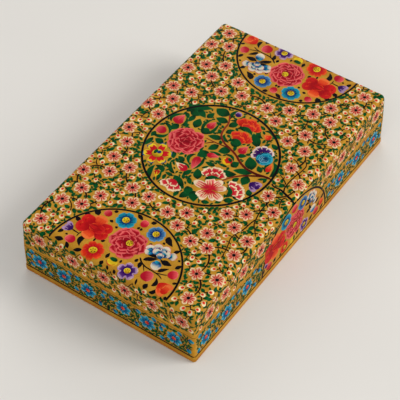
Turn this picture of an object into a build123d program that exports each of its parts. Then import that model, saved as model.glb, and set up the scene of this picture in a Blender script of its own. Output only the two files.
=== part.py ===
from build123d import *
import os

# Kashmiri papier mache box with a lift-off lid. Boards of pressed paper pulp are mitred and glued into
# a closed shell, the shell is cut round at the seam, and thin strips glued inside the base locate the lid.
# Frame: origin at the centre of the underside, +X along the box, +Y to the back, +Z up.

# Driving dimensions, mm
length = 178.0          # outside of the walls, along X
width = 103.0           # outside of the walls, along Y
height = 36.0           # underside to the top of the lid
seam_height = 19.0      # level where lid and base meet
board = 3.6             # thickness of the wall boards
edge_round = 2.8        # rounding along the lid's top edges
corner_round = 3.0      # rounding of the upright corners at the lid's top, a little more than edge_round
low_corner_round = 1.3  # rounding of the upright corners at the seam and below it
top_board = 3.8         # thickness of the lid's top panel, more than edge_round
foot_board = 3.7        # thickness of the bottom board, seen outside as the plain foot band
foot_lip = 0.35         # how far the bottom board stands out beyond the walls
foot_round = 1.1        # rounding along the foot band
rim_board = 2.0         # thickness of the locating strips
rim_rise = 5.0          # how far the strips stand above the seam
rim_round = 0.6         # easing along the top of the strips
seam_bevel = 0.3        # easing of both outside edges at the seam

# Named clearance
rim_clearance = 0.3     # lid wall to locating strip, each side

# Levels and sizes that follow
lid_wall_top = height - top_board
hollow_length = length - 2 * board
hollow_width = width - 2 * board

os.makedirs("parts", exist_ok=True)


def mitred_plan(side, outer_x, outer_y, thickness):
    """Corner points of one board of a mitred frame, in plan."""
    x = outer_x / 2
    y = outer_y / 2
    sign = 1 if side in ("back", "right") else -1
    if side in ("front", "back"):
        return [(-x, sign * y), (x, sign * y), (x - thickness, sign * (y - thickness)),
                (thickness - x, sign * (y - thickness))]
    return [(sign * x, -y), (sign * x, y), (sign * (x - thickness), y - thickness),
            (sign * (x - thickness), thickness - y)]


def wall(side, z_low, z_high, round_low, round_high, bevel_at_top):
    """One wall board: mitred ends, rounded upright corners and an eased outside edge at the seam."""
    bevel_low = 0 if bevel_at_top else seam_bevel
    bevel_high = seam_bevel if bevel_at_top else 0
    levels = [(z_low, bevel_low, round_low), (z_low + bevel_low, 0, round_low),
              (z_high - bevel_high, 0, round_high), (z_high, bevel_high, round_high)]
    levels = [level for number, level in enumerate(levels) if number == 0 or level[0] > levels[number - 1][0]]
    with BuildPart() as piece:
        for z, inset, corner in levels:
            with BuildSketch(Plane.XY.offset(z)):
                RectangleRounded(length - 2 * inset, width - 2 * inset, corner - inset)
        loft(ruled=True)
        with BuildSketch(Plane.XY.offset(z_low)):
            with BuildLine():
                Polyline(*mitred_plan(side, length, width, board), close=True)
            make_face()
        extrude(amount=z_high - z_low, mode=Mode.INTERSECT)
    return piece


def rim_strip(side):
    """One locating strip: glued to the wall below the seam, thinned by the clearance above it."""
    back_or_right = side in ("back", "right")
    across = Axis.Y if side in ("front", "back") else Axis.X
    with BuildPart() as piece:
        with BuildSketch(Plane.XY.offset(foot_board)):
            with BuildLine():
                Polyline(*mitred_plan(side, hollow_length, hollow_width, rim_board), close=True)
            make_face()
        extrude(amount=seam_height - foot_board)
        with BuildSketch(Plane.XY.offset(seam_height)):
            with BuildLine():
                Polyline(*mitred_plan(side, hollow_length - 2 * rim_clearance, hollow_width - 2 * rim_clearance,
                                      rim_board - rim_clearance), close=True)
            make_face()
        extrude(amount=rim_rise)
        top_edges = piece.edges().group_by(Axis.Z)[-1].sort_by(across)
        fillet([top_edges[-1 if back_or_right else 0], top_edges[0 if back_or_right else -1]], radius=rim_round)
    return piece


# Lid top panel: rounded corners and softly rounded top edges
with BuildPart() as lid_top_panel:
    with BuildSketch(Plane.XY.offset(lid_wall_top)):
        RectangleRounded(length, width, corner_round)
    extrude(amount=top_board)
    fillet(lid_top_panel.edges().group_by(Axis.Z)[-1], radius=edge_round)
lid_top_panel.part.label = "lid_top_panel"
export_step(lid_top_panel.part, "parts/lid_top_panel.step")

# Bottom board: laid under the walls, its rounded edge shows as the foot band
with BuildPart() as bottom_board:
    with BuildSketch(Plane.XY):
        RectangleRounded(length + 2 * foot_lip, width + 2 * foot_lip, low_corner_round + foot_lip)
    extrude(amount=foot_board)
    fillet(bottom_board.edges().group_by(Axis.Z)[0], radius=foot_round)
    fillet(bottom_board.edges().group_by(Axis.Z)[-1], radius=foot_lip)
bottom_board.part.label = "bottom_board"
export_step(bottom_board.part, "parts/bottom_board.step")

# Walls of the lid and the base, and the locating strips inside the base
for side in ("front", "back", "left", "right"):
    lid_wall = wall(side, seam_height, lid_wall_top, low_corner_round, corner_round, bevel_at_top=False)
    lid_wall.part.label = f"lid_{side}_wall"
    export_step(lid_wall.part, f"parts/lid_{side}_wall.step")

    base_wall = wall(side, foot_board, seam_height, low_corner_round, low_corner_round, bevel_at_top=True)
    base_wall.part.label = f"base_{side}_wall"
    export_step(base_wall.part, f"parts/base_{side}_wall.step")

    rim = rim_strip(side)
    rim.part.label = f"rim_{side}_strip"
    export_step(rim.part, f"parts/rim_{side}_strip.step")
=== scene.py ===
# %% [markdown]
# # A painted papier mache box
# The real box is made of pressed paper pulp. It is glued up closed, rubbed smooth, laid with a gold
# ground, painted with flowers while it is still closed, and varnished; the lid is then cut free.
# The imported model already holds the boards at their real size, so this lesson leaves them as they are
# and adds what a painter adds: the ground, the strokes of paint and the varnish.
# All lengths below are in millimetres, and become metres only when a mesh is written.

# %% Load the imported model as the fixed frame
import math

import bmesh
import bpy
import numpy as np
from mathutils import Matrix, Vector


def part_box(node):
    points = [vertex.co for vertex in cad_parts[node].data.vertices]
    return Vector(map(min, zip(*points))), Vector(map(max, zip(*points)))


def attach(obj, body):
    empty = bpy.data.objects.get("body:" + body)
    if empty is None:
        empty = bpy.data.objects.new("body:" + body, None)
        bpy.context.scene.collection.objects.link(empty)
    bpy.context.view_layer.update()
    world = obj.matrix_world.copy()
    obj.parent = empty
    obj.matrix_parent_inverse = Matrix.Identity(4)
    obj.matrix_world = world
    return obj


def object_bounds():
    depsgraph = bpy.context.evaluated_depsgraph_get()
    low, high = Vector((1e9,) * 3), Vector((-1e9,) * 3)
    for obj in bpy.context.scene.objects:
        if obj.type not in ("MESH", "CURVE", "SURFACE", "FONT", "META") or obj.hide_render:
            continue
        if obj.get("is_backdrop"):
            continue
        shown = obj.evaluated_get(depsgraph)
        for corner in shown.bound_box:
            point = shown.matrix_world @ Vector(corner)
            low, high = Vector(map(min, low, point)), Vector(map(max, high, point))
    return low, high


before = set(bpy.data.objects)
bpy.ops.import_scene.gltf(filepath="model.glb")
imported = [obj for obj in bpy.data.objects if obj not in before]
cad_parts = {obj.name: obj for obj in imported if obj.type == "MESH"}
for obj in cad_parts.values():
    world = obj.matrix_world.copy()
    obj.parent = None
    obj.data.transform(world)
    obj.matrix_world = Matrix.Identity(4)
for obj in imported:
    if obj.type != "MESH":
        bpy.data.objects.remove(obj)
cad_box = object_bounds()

# %% [markdown]
# ## Sizes
# Everything painted has to lie on the boards, so the sizes are read from the frame. Only the radii
# of the roundings can't be read from a box, and they are repeated here by name.

# %% Sizes of the box
mm = 0.001
panel_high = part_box("lid_top_panel")[1] / mm
foot_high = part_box("bottom_board")[1] / mm
half_length = panel_high.x
half_width = panel_high.y
height = panel_high.z
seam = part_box("lid_front_wall")[0].z / mm
foot_top = foot_high.z
foot_lip = foot_high.x - half_length
edge_round = 2.8        # rounding along the top edges
corner_round = 3.0      # rounding of the upright corners at the top of the lid
low_corner_round = 1.3  # rounding of the upright corners at the seam and below it
top_board = 3.8         # thickness of the lid's top panel
seam_bevel = 0.3        # easing of both edges at the seam
print(f"box {2 * half_length:.1f} x {2 * half_width:.1f} x {height:.1f} mm, seam at {seam:.1f} mm")

# %% [markdown]
# ## Camera
# The box is looked at from its front left corner, from above, with a fairly long lens. The camera
# is aimed at a point close to the middle of the underside and then slid a little in its own plane.

# %% Camera
view_turn = math.radians(-55.547)
view_rise = math.radians(48.266)
view_distance = 780.8
slide_right = -5.30
slide_up = 1.55
lens_length = 134.25
film_width = 36
across = Vector((math.cos(view_turn), math.sin(view_turn), 0))
towards = Vector((math.sin(view_turn) * math.cos(view_rise), -math.cos(view_turn) * math.cos(view_rise),
                  math.sin(view_rise)))
upward = towards.cross(across)
lens = bpy.data.cameras.new("camera")
lens.lens = lens_length
lens.sensor_width = film_width
camera = bpy.data.objects.new("camera", lens)
bpy.context.scene.collection.objects.link(camera)
stand = (across * slide_right + upward * slide_up + towards * view_distance) * mm
camera.matrix_world = Matrix.Translation(stand) @ Matrix((across, upward, towards)).transposed().to_4x4()
bpy.context.scene.camera = camera
bpy.context.scene.view_settings.view_transform = "Standard"
print("camera stands at", [round(c, 3) for c in stand])

# %% [markdown]
# ## Floor and light
# A plain pale floor and three soft lamps. The key lamp stands at the front right, so the long front
# side is the brightest and the short left side is quieter. A low wide lamp at the back right lays a
# soft sheen on the varnish of the lid.

# %% Helpers for node materials
def new_material(name):
    """An empty node material with its Principled node and its output."""
    material = bpy.data.materials.new(name)
    material.use_nodes = True
    tree = material.node_tree
    tree.nodes.clear()
    surface = tree.nodes.new("ShaderNodeBsdfPrincipled")
    output = tree.nodes.new("ShaderNodeOutputMaterial")
    tree.links.new(surface.outputs["BSDF"], output.inputs["Surface"])
    return material, tree, surface


def linear(red, green, blue):
    """A paint colour given as 0 to 255 per channel, as the linear colour that a shader wants."""
    shares = [channel / 255 for channel in (red, green, blue)]
    return tuple(s / 12.92 if s <= 0.04045 else ((s + 0.055) / 1.055) ** 2.4 for s in shares) + (1.0,)


def add_node(tree, kind, **settings):
    """A node with its own settings; a number or a tuple goes to the input of that name or number."""
    node = tree.nodes.new(kind)
    inputs = settings.pop("inputs", {})
    for name, value in settings.items():
        setattr(node, name, value)
    for name, value in inputs.items():
        if isinstance(value, bpy.types.NodeSocket):
            tree.links.new(value, node.inputs[name])
        else:
            node.inputs[name].default_value = value
    return node


def noise(tree, vector, scale, detail, roughness=0.5):
    """Soft random patches between 0 and 1."""
    return add_node(tree, "ShaderNodeTexNoise", inputs={
        "Vector": vector, "Scale": scale, "Detail": detail, "Roughness": roughness}).outputs["Fac"]


def blend_colours(tree, factor, first, second):
    """One colour mixed into another."""
    return add_node(tree, "ShaderNodeMix", data_type="RGBA",
                    inputs={"Factor": factor, 6: first, 7: second}).outputs[2]


def own_place(tree):
    """Where a point lies in its own piece, so a pattern stays put when the piece moves."""
    return add_node(tree, "ShaderNodeTexCoord").outputs["Object"]


print("mid grey as a linear colour:", [round(channel, 3) for channel in linear(128, 128, 128)])

# %% Floor
floor_tones = (222, 220, 216), (228, 226, 222)
floor_half = 2.5
floor_material, tree, surface = new_material("pale_floor")
grain = noise(tree, own_place(tree), 9.0, 4.0)
shade = blend_colours(tree, grain, linear(*floor_tones[0]), linear(*floor_tones[1]))
tree.links.new(shade, surface.inputs["Base Color"])
surface.inputs["Roughness"].default_value = 0.95
surface.inputs["Specular IOR Level"].default_value = 0.05
floor_mesh = bpy.data.meshes.new("floor")
floor_mesh.from_pydata([(-floor_half, -floor_half, 0), (floor_half, -floor_half, 0),
                        (floor_half, floor_half, 0), (-floor_half, floor_half, 0)], [], [(0, 1, 2, 3)])
floor_mesh.materials.append(floor_material)
floor = bpy.data.objects.new("floor", floor_mesh)
bpy.context.scene.collection.objects.link(floor)
floor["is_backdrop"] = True
print("floor:", 2 * floor_half, "m square")

# %% Light
sky_tone = (1.0, 0.985, 0.96, 1)
sky_strength = 0.50
lamps = (("key", (0.70, -1.50, 1.24), 1.00, 24.2, (1.0, 0.98, 0.95)),
         ("sheen", (0.75, 0.55, 0.45), 0.60, 2.2, (1.0, 0.98, 0.96)),
         ("fill", (-0.80, -0.25, 0.75), 0.70, 2.2, (1.0, 1.0, 1.0)))
world = bpy.data.worlds.new("studio")
bpy.context.scene.world = world
world.use_nodes = True
world.node_tree.nodes["Background"].inputs["Color"].default_value = sky_tone
world.node_tree.nodes["Background"].inputs["Strength"].default_value = sky_strength


def soft_lamp(name, place, size, power, colour):
    """A square lamp, so many metres wide and so many watts strong, that looks at the box."""
    lamp = bpy.data.lights.new(name, "AREA")
    lamp.size = size
    lamp.energy = power
    lamp.color = colour
    holder = bpy.data.objects.new(name, lamp)
    bpy.context.scene.collection.objects.link(holder)
    holder.location = place
    holder.rotation_euler = (Vector((0, 0, 0.02)) - holder.location).to_track_quat("-Z", "Y").to_euler()


for lamp in lamps:
    soft_lamp(*lamp)
print("lamps:", [name for name, *rest in lamps])

# %% [markdown]
# ## Shared paint effects
# A brush stroke of thin gouache is never one flat colour: it is deep at the root, clean in the body
# and pale where the brush was lifted. One shared group makes that from three numbers that every
# stroke carries in its mesh: how far along it is, how far across, and a tone of its own.
# A second group gives the hand-rubbed varnish over everything its slight unevenness.

# %% Shared node groups
def new_group(name, inputs, outputs):
    """A shader node group with named sockets. Returns the group and its input and output nodes."""
    group = bpy.data.node_groups.new(name, "ShaderNodeTree")
    for label, kind, value in inputs:
        socket = group.interface.new_socket(label, in_out="INPUT", socket_type=kind)
        socket.default_value = value
    for label, kind in outputs:
        group.interface.new_socket(label, in_out="OUTPUT", socket_type=kind)
    return group, group.nodes.new("NodeGroupInput"), group.nodes.new("NodeGroupOutput")


def math_node(tree, operation, first, second=0.0):
    """One sum of two sockets or numbers."""
    return add_node(tree, "ShaderNodeMath", operation=operation, inputs={0: first, 1: second}).outputs[0]


def times(tree, first, second):
    """Two sockets or numbers multiplied."""
    return math_node(tree, "MULTIPLY", first, second)


def plus(tree, first, second):
    """Two sockets or numbers added."""
    return math_node(tree, "ADD", first, second)


def minus(tree, first, second):
    """The second socket or number taken from the first."""
    return math_node(tree, "SUBTRACT", first, second)


def ramp_between(tree, value, start, end):
    """0 below start, 1 above end, smooth between."""
    return add_node(tree, "ShaderNodeMapRange", interpolation_type="SMOOTHSTEP",
                    inputs={"Value": value, "From Min": start, "From Max": end}).outputs["Result"]


middle_grey = (0.5, 0.5, 0.5, 1)


def make_stroke_group():
    """Root, body and rim colours of a brush stroke, with bristle marks."""
    group, given, result = new_group(
        "brush_stroke",
        [("Root", "NodeSocketColor", middle_grey), ("Body", "NodeSocketColor", middle_grey),
         ("Rim", "NodeSocketColor", middle_grey), ("Root Reach", "NodeSocketFloat", 0.3),
         ("Rim Width", "NodeSocketFloat", 0.15), ("Bristles", "NodeSocketFloat", 0.5)],
        [("Color", "NodeSocketColor"), ("Height", "NodeSocketFloat")])
    carried = add_node(group, "ShaderNodeAttribute", attribute_name="stroke")
    parted = add_node(group, "ShaderNodeSeparateXYZ", inputs={0: carried.outputs["Vector"]})
    along, across, tone = parted.outputs
    stretched = add_node(group, "ShaderNodeCombineXYZ", inputs={
        0: times(group, along, 1.6), 1: times(group, across, 3.2), 2: times(group, tone, 60.0)})
    bristle = noise(group, stretched.outputs[0], 1.5, 3.0, 0.6)
    uneven = times(group, minus(group, bristle, 0.5), given.outputs["Bristles"])
    root_edge = plus(group, along, times(group, uneven, 0.7))
    root_start = times(group, given.outputs["Root Reach"], 0.45)
    root_end = times(group, given.outputs["Root Reach"], 1.5)
    root = minus(group, 1.0, ramp_between(group, root_edge, root_start, root_end))
    sideways = times(group, math_node(group, "ABSOLUTE", across), ramp_between(group, along, 0.15, 0.5))
    edge = plus(group, math_node(group, "MAXIMUM", along, sideways), times(group, uneven, 0.25))
    rim_line = minus(group, 1.0, given.outputs["Rim Width"])
    rim = ramp_between(group, edge, minus(group, rim_line, 0.10), plus(group, rim_line, 0.04))
    colour = blend_colours(group, root, given.outputs["Body"], given.outputs["Root"])
    colour = blend_colours(group, rim, colour, given.outputs["Rim"])
    bright = plus(group, times(group, tone, 0.20), plus(group, 0.90, times(group, uneven, 0.5)))
    colour = add_node(group, "ShaderNodeHueSaturation", inputs={"Color": colour, "Value": bright})
    group.links.new(colour.outputs["Color"], result.inputs["Color"])
    group.links.new(plus(group, times(group, rim, 0.4), bristle), result.inputs["Height"])
    return group


def make_varnish_group():
    """Uneven gloss and a faint waviness of a varnish that was brushed on and rubbed by hand."""
    group, given, result = new_group(
        "rubbed_varnish",
        [("Gloss Roughness", "NodeSocketFloat", 0.3), ("Unevenness", "NodeSocketFloat", 0.1)],
        [("Roughness", "NodeSocketFloat"), ("Height", "NodeSocketFloat")])
    place = own_place(group)
    wide = noise(group, place, 55.0, 3.0)
    fine = noise(group, place, 700.0, 2.0)
    uneven = given.outputs["Unevenness"]
    swing = times(group, minus(group, wide, 0.5), uneven)
    grit = times(group, minus(group, fine, 0.5), times(group, uneven, 0.6))
    rough = plus(group, given.outputs["Gloss Roughness"], plus(group, swing, grit))
    group.links.new(rough, result.inputs["Roughness"])
    group.links.new(plus(group, wide, times(group, fine, 0.25)), result.inputs["Height"])
    return group


def make_gold_group():
    """Bronze-powder gold: two golds in soft patches, fine grains and darker pinholes."""
    group, given, result = new_group(
        "powder_gold",
        [("Light Gold", "NodeSocketColor", middle_grey), ("Deep Gold", "NodeSocketColor", middle_grey),
         ("Grain", "NodeSocketFloat", 0.5)],
        [("Color", "NodeSocketColor"), ("Height", "NodeSocketFloat")])
    place = own_place(group)
    patch = noise(group, place, 130.0, 5.0, 0.62)
    powder = noise(group, place, 2200.0, 2.0)
    mixed = plus(group, patch, times(group, minus(group, powder, 0.5), given.outputs["Grain"]))
    colour = blend_colours(group, ramp_between(group, mixed, 0.30, 0.70), given.outputs["Deep Gold"],
                           given.outputs["Light Gold"])
    group.links.new(colour, result.inputs["Color"])
    group.links.new(powder, result.inputs["Height"])
    return group


brush_stroke = make_stroke_group()
rubbed_varnish = make_varnish_group()
powder_gold = make_gold_group()
print("shared groups:", [g.name for g in bpy.data.node_groups])

# %% [markdown]
# ## Paints
# Each paint is one material: the stroke group with three colours of its own, under the same varnish.
# The varnish is a clear coat, so its strength and its own roughness are set on the shader itself.

# %% Paints
varnish_unevenness = 0.16
paint_relief = 0.5          # share of the paint's own relief that shows through the varnish
bump_strength = 0.16
bump_depth = 0.00025        # in metres
base_gloss = 0.02
coat_weight = 0.06
coat_roughness = 0.20


def add_varnish(tree, surface, gloss_roughness, height_socket):
    """Varnish roughness and a shallow bump from the varnish and the paint below it."""
    varnish = add_node(tree, "ShaderNodeGroup", node_tree=rubbed_varnish, inputs={
        "Gloss Roughness": gloss_roughness, "Unevenness": varnish_unevenness})
    relief = plus(tree, varnish.outputs["Height"], times(tree, height_socket, paint_relief))
    bump = add_node(tree, "ShaderNodeBump", inputs={
        "Strength": bump_strength, "Distance": bump_depth, "Height": relief})
    tree.links.new(varnish.outputs["Roughness"], surface.inputs["Roughness"])
    tree.links.new(bump.outputs["Normal"], surface.inputs["Normal"])
    surface.inputs["Specular IOR Level"].default_value = base_gloss
    surface.inputs["Coat Weight"].default_value = coat_weight
    surface.inputs["Coat Roughness"].default_value = coat_roughness


def paint(name, root, body, rim, root_reach, rim_width, bristles=0.5):
    """One gouache colour: at the root, in the body and at the rim of a stroke."""
    material, tree, surface = new_material(name)
    stroke = add_node(tree, "ShaderNodeGroup", node_tree=brush_stroke, inputs={
        "Root": linear(*root), "Body": linear(*body), "Rim": linear(*rim), "Root Reach": root_reach,
        "Rim Width": rim_width, "Bristles": bristles})
    tree.links.new(stroke.outputs["Color"], surface.inputs["Base Color"])
    add_varnish(tree, surface, 0.42, stroke.outputs["Height"])
    return material


paints = {
    "blossom": paint("blossom_pink", (180, 72, 62), (206, 140, 108), (204, 134, 102), 0.14, 0.12),
    "cream": paint("cream", (200, 166, 108), (220, 198, 148), (228, 210, 166), 0.25, 0.22),
    "rose": paint("rose_pink", (124, 4, 20), (176, 18, 36), (216, 92, 90), 0.70, 0.14),
    "rose_bud": paint("rose_bud", (170, 16, 38), (212, 76, 80), (224, 116, 106), 0.60, 0.06),
    "rose_light": paint("rose_edge_pink", (170, 30, 42), (194, 50, 56), (210, 88, 84), 0.42, 0.20),
    "red": paint("lacquer_red", (156, 8, 16), (186, 20, 22), (196, 40, 30), 0.40, 0.14),
    "orange": paint("orange", (190, 28, 18), (214, 72, 30), (224, 108, 50), 0.46, 0.22),
    "poppy": paint("poppy_red", (170, 14, 14), (206, 46, 20), (218, 84, 34), 0.56, 0.14),
    "sky_blue": paint("sky_blue", (4, 48, 86), (10, 122, 150), (50, 156, 172), 0.46, 0.14),
    "mid_blue": paint("cornflower_blue", (12, 44, 94), (50, 98, 146), (98, 144, 172), 0.46, 0.16),
    "teal": paint("turquoise", (4, 62, 110), (12, 126, 154), (50, 160, 176), 0.20, 0.16),
    "purple": paint("violet", (46, 8, 84), (98, 58, 128), (164, 130, 166), 0.62, 0.26),
    "white_violet": paint("white_on_violet", (46, 6, 80), (96, 52, 116), (216, 192, 178), 0.62, 0.26),
    "white_red": paint("white_on_crimson", (178, 12, 36), (200, 60, 66), (226, 204, 164), 0.56, 0.22),
    "white_pink": paint("white_on_pink", (190, 30, 50), (220, 122, 112), (230, 208, 172), 0.40, 0.20),
    "white_blue": paint("white_on_blue", (4, 92, 146), (206, 198, 172), (222, 190, 170), 0.50, 0.10),
    "yellow_red": paint("yellow_on_red", (168, 16, 20), (200, 40, 22), (214, 178, 20), 0.56, 0.26),
    "yellow": paint("yellow", (166, 120, 12), (206, 172, 26), (216, 188, 38), 0.30, 0.20),
    "crimson": paint("crimson_line", (162, 12, 26), (188, 20, 34), (198, 36, 42), 0.20, 0.10),
    "deep_red": paint("deep_red_line", (112, 4, 18), (132, 6, 22), (150, 14, 28), 0.20, 0.10),
    "vermilion": paint("vermilion_dot", (184, 24, 16), (206, 44, 28), (214, 72, 48), 0.20, 0.20),
    "pale_pink": paint("pale_pink_line", (208, 98, 92), (218, 124, 112), (224, 150, 132), 0.20, 0.20),
    "pale_blue": paint("pale_blue_line", (88, 162, 198), (112, 180, 206), (142, 198, 214), 0.20, 0.20),
    "deep_blue": paint("deep_blue_line", (6, 26, 84), (10, 42, 102), (24, 72, 130), 0.20, 0.20),
    "leaf": paint("field_leaf_green", (0, 46, 18), (0, 74, 30), (8, 92, 40), 0.30, 0.12),
    "dark_leaf": paint("bouquet_leaf_green", (0, 44, 18), (0, 68, 28), (16, 96, 44), 0.30, 0.08),
    "ink": paint("ink_black", (8, 5, 8), (12, 9, 12), (20, 16, 20), 0.30, 0.10),
    "brown": paint("stem_brown", (16, 6, 4), (24, 9, 6), (36, 15, 9), 0.30, 0.20),
    "maroon": paint("stem_maroon", (66, 8, 6), (92, 18, 12), (124, 40, 26), 0.30, 0.30),
}


def gold_paint(name, light, deep, metal):
    """Gold ground or gold line."""
    material, tree, surface = new_material(name)
    gold = add_node(tree, "ShaderNodeGroup", node_tree=powder_gold,
                    inputs={"Light Gold": linear(*light), "Deep Gold": linear(*deep), "Grain": 0.6})
    tree.links.new(gold.outputs["Color"], surface.inputs["Base Color"])
    surface.inputs["Metallic"].default_value = metal
    add_varnish(tree, surface, 0.40, gold.outputs["Height"])
    return material, tree, surface, gold.outputs["Color"]


paints["gold"] = gold_paint("gold_line", (208, 148, 38), (184, 122, 24), 0.20)[0]
print("paints:", len(paints))

# %% [markdown]
# ## Boards
# Outside the boards carry the gold ground; inside, on the underside and on the locating strips the
# box is painted black. Both are on the same board, so the change is made by place: whatever lies
# more than a little way in from the outer faces is black. The coordinates are the board's own, so
# the paint stays put when the lid is lifted.

# %% Boards
skin = 1.5                          # how far in from the outer faces the gold ground ends
lacquer_tones = (20, 15, 14), (38, 30, 27)
seam_shadow_colour = (70, 42, 20)            # dark brown of the painted shadow in the gap at the seam
seam_shadow_strength = 0.75


def board_material(name):
    """Gold ground outside, black inside, by how deep the point lies in the box, and a painted shadow at the
    seam.
    """
    material, tree, surface, gold = gold_paint(name, (194, 144, 46), (172, 120, 32), 0.10)
    place = own_place(tree)
    x, y, z = add_node(tree, "ShaderNodeSeparateXYZ", inputs={0: place}).outputs
    depth_x = minus(tree, math_node(tree, "ABSOLUTE", x), (half_length - skin) * mm)
    depth_y = minus(tree, math_node(tree, "ABSOLUTE", y), (half_width - skin) * mm)
    depth_z = minus(tree, z, (height - skin) * mm)
    outside = math_node(tree, "MAXIMUM", math_node(tree, "MAXIMUM", depth_x, depth_y), depth_z)
    lined = ramp_between(tree, outside, -0.0001, 0.0001)
    black = blend_colours(tree, noise(tree, place, 160.0, 4.0), *(linear(*tone) for tone in lacquer_tones))
    coloured = blend_colours(tree, lined, black, gold)
    # A painted shadow: close to the seam the ground turns dark brown, for the shade in the gap between lid
    # and base.
    cut = math_node(tree, "ABSOLUTE", minus(tree, z, seam * mm))
    seam_shadow_mask = minus(tree, 1.0, ramp_between(tree, cut, 0.0001, 0.0004))
    coloured = blend_colours(tree, times(tree, seam_shadow_mask, seam_shadow_strength), coloured, linear(*seam_shadow_colour))
    tree.links.new(coloured, surface.inputs["Base Color"])
    return material


gold_ground = board_material("gold_ground")
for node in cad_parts.values():
    node.data.materials.clear()
    node.data.materials.append(gold_ground)
print("boards painted:", len(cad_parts))

# %% [markdown]
# ## Drawing sheets
# A painter sees each face as a flat sheet that runs on over the rounded edges. Each sheet is a
# function from two flat lengths to a place on the box and the direction that faces outward there,
# so a flower can be drawn flat and still bend round an edge.

# %% Drawing sheets
SIDE_AXES = {"front": ((1, 0, 0), (0, -1, 0)), "right": ((0, 1, 0), (1, 0, 0)),
             "back": ((-1, 0, 0), (0, 1, 0)), "left": ((0, -1, 0), (-1, 0, 0))}
SHEETS = ["top"] + list(SIDE_AXES)
quarter = math.pi / 2


def side_halves(side):
    """Half the run of a side and half the depth of the box behind it."""
    return (half_length, half_width) if side in ("front", "back") else (half_width, half_length)


def on_top(u, v):
    """Places and outward directions on the lid, wrapped over its rounded edges."""
    inner_u = np.clip(u, corner_round - half_length, half_length - corner_round)
    inner_v = np.clip(v, corner_round - half_width, half_width - corner_round)
    away = np.stack([u - inner_u, v - inner_v], 1)
    reach = np.linalg.norm(away, axis=1)
    out = away / np.maximum(reach, 1e-9)[:, None]
    over = reach - (corner_round - edge_round)
    turn = np.clip(over / edge_round, 0, quarter)
    radius = np.minimum(reach, corner_round - edge_round) + edge_round * np.sin(turn)
    drop = edge_round * (1 - np.cos(turn)) + np.maximum(over - edge_round * quarter, 0)
    place = np.stack([inner_u + out[:, 0] * radius, inner_v + out[:, 1] * radius, height - drop], 1)
    facing = np.stack([out[:, 0] * np.sin(turn), out[:, 1] * np.sin(turn), np.cos(turn)], 1)
    return place, facing


def corner_at(z):
    """Rounding of the upright corners, which grows from the seam up to the lid's top panel."""
    share = np.clip((z - seam - seam_bevel) / (height - top_board - seam - seam_bevel), 0, 1)
    return low_corner_round + (corner_round - low_corner_round) * share


def on_side(side, s, z):
    """Places and outward directions on a side, wrapped round its corners and over the top edge."""
    run, outward = (np.array(axis, float) for axis in SIDE_AXES[side])
    half_run, half_depth = side_halves(side)
    corner = corner_at(z)
    inner = np.clip(s, corner - half_run, half_run - corner)
    past = np.abs(s - inner)
    bend = np.clip(past / corner, 0, quarter)
    rest = np.maximum(past - corner * quarter, 0)
    turn = np.clip((z - (height - edge_round)) / edge_round, 0, quarter)
    inset = edge_round * (1 - np.cos(turn)) + np.maximum(seam_bevel - np.abs(z - seam), 0)
    inset = inset - np.where(z < foot_top, foot_lip, 0)
    sideways = np.sign(s) * np.sin(bend)
    level = np.minimum(z, height - edge_round) + edge_round * np.sin(turn)
    up = np.array([0, 0, 1.0])
    place = ((inner + sideways * (corner - inset))[:, None] * run
             + (half_depth - corner + np.cos(bend) * (corner - inset) - rest)[:, None] * outward
             + level[:, None] * up)
    flat = sideways[:, None] * run + np.cos(bend)[:, None] * outward
    return place, flat * np.cos(turn)[:, None] + up * np.sin(turn)[:, None]


def wrap(sheet, u, v):
    """The place and the facing of flat points on any sheet."""
    return on_top(u, v) if sheet == "top" else on_side(sheet, u, v)


def on_a_bend(sheet, points):
    """True if any of the flat points lies where the sheet curves."""
    u, v = np.abs(points[:, 0]), points[:, 1]
    if sheet == "top":
        return bool((u > half_length - corner_round).any() or (np.abs(v) > half_width - corner_round).any())
    half_run = side_halves(sheet)[0]
    return bool((u > half_run - corner_round).any() or (v > height - edge_round).any())


place, facing = wrap("top", np.array([0.0, half_length + 2]), np.array([0.0, 0.0]))
print("a point 2 mm past the end of the lid lands at", place[1].round(2), "facing", facing[1].round(2))

# %% [markdown]
# ## Strokes of paint
# Paint stands a little above the gold: each stroke is a thin closed body of its own, less than a third
# of a millimetre high. A picture on a plane would be quicker, but strokes catch the light at their
# edges as real gouache does. A stroke follows a spine and has a width along it; its mesh is a small
# grid, closed below. Later strokes lie higher, in the order in which a painter lays them.

# %% Stroke shapes
def leaf_shape(t):
    """Pointed at both ends, fullest a little before the middle."""
    return np.sin(math.pi * t ** 0.85) ** 0.9


def petal_shape(t):
    """A narrow root that opens to a broad round end."""
    opening = np.sin(quarter * np.clip(t / 0.62, 0, 1)) ** 0.85
    closing = np.sqrt(np.clip(1 - ((t - 0.62) / 0.38) ** 2, 0, 1))
    return np.where(t < 0.62, opening, closing)


def round_shape(t):
    """A disc or an oval."""
    return np.sqrt(np.clip(1 - (2 * t - 1) ** 2, 0, 1))


def drop_shape(t):
    """Round at the root and drawn out to a point."""
    return np.sin(math.pi * t ** 0.62)


def line_shape(t):
    """An even line with quick ends."""
    return np.clip(np.minimum(t, 1 - t) / 0.02, 0, 1) ** 0.5


def taper_shape(t):
    """A line that thins towards its tip."""
    return (1 - 0.40 * t) * np.clip(np.minimum(t, 1 - t) / 0.04, 0, 1) ** 0.5


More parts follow.
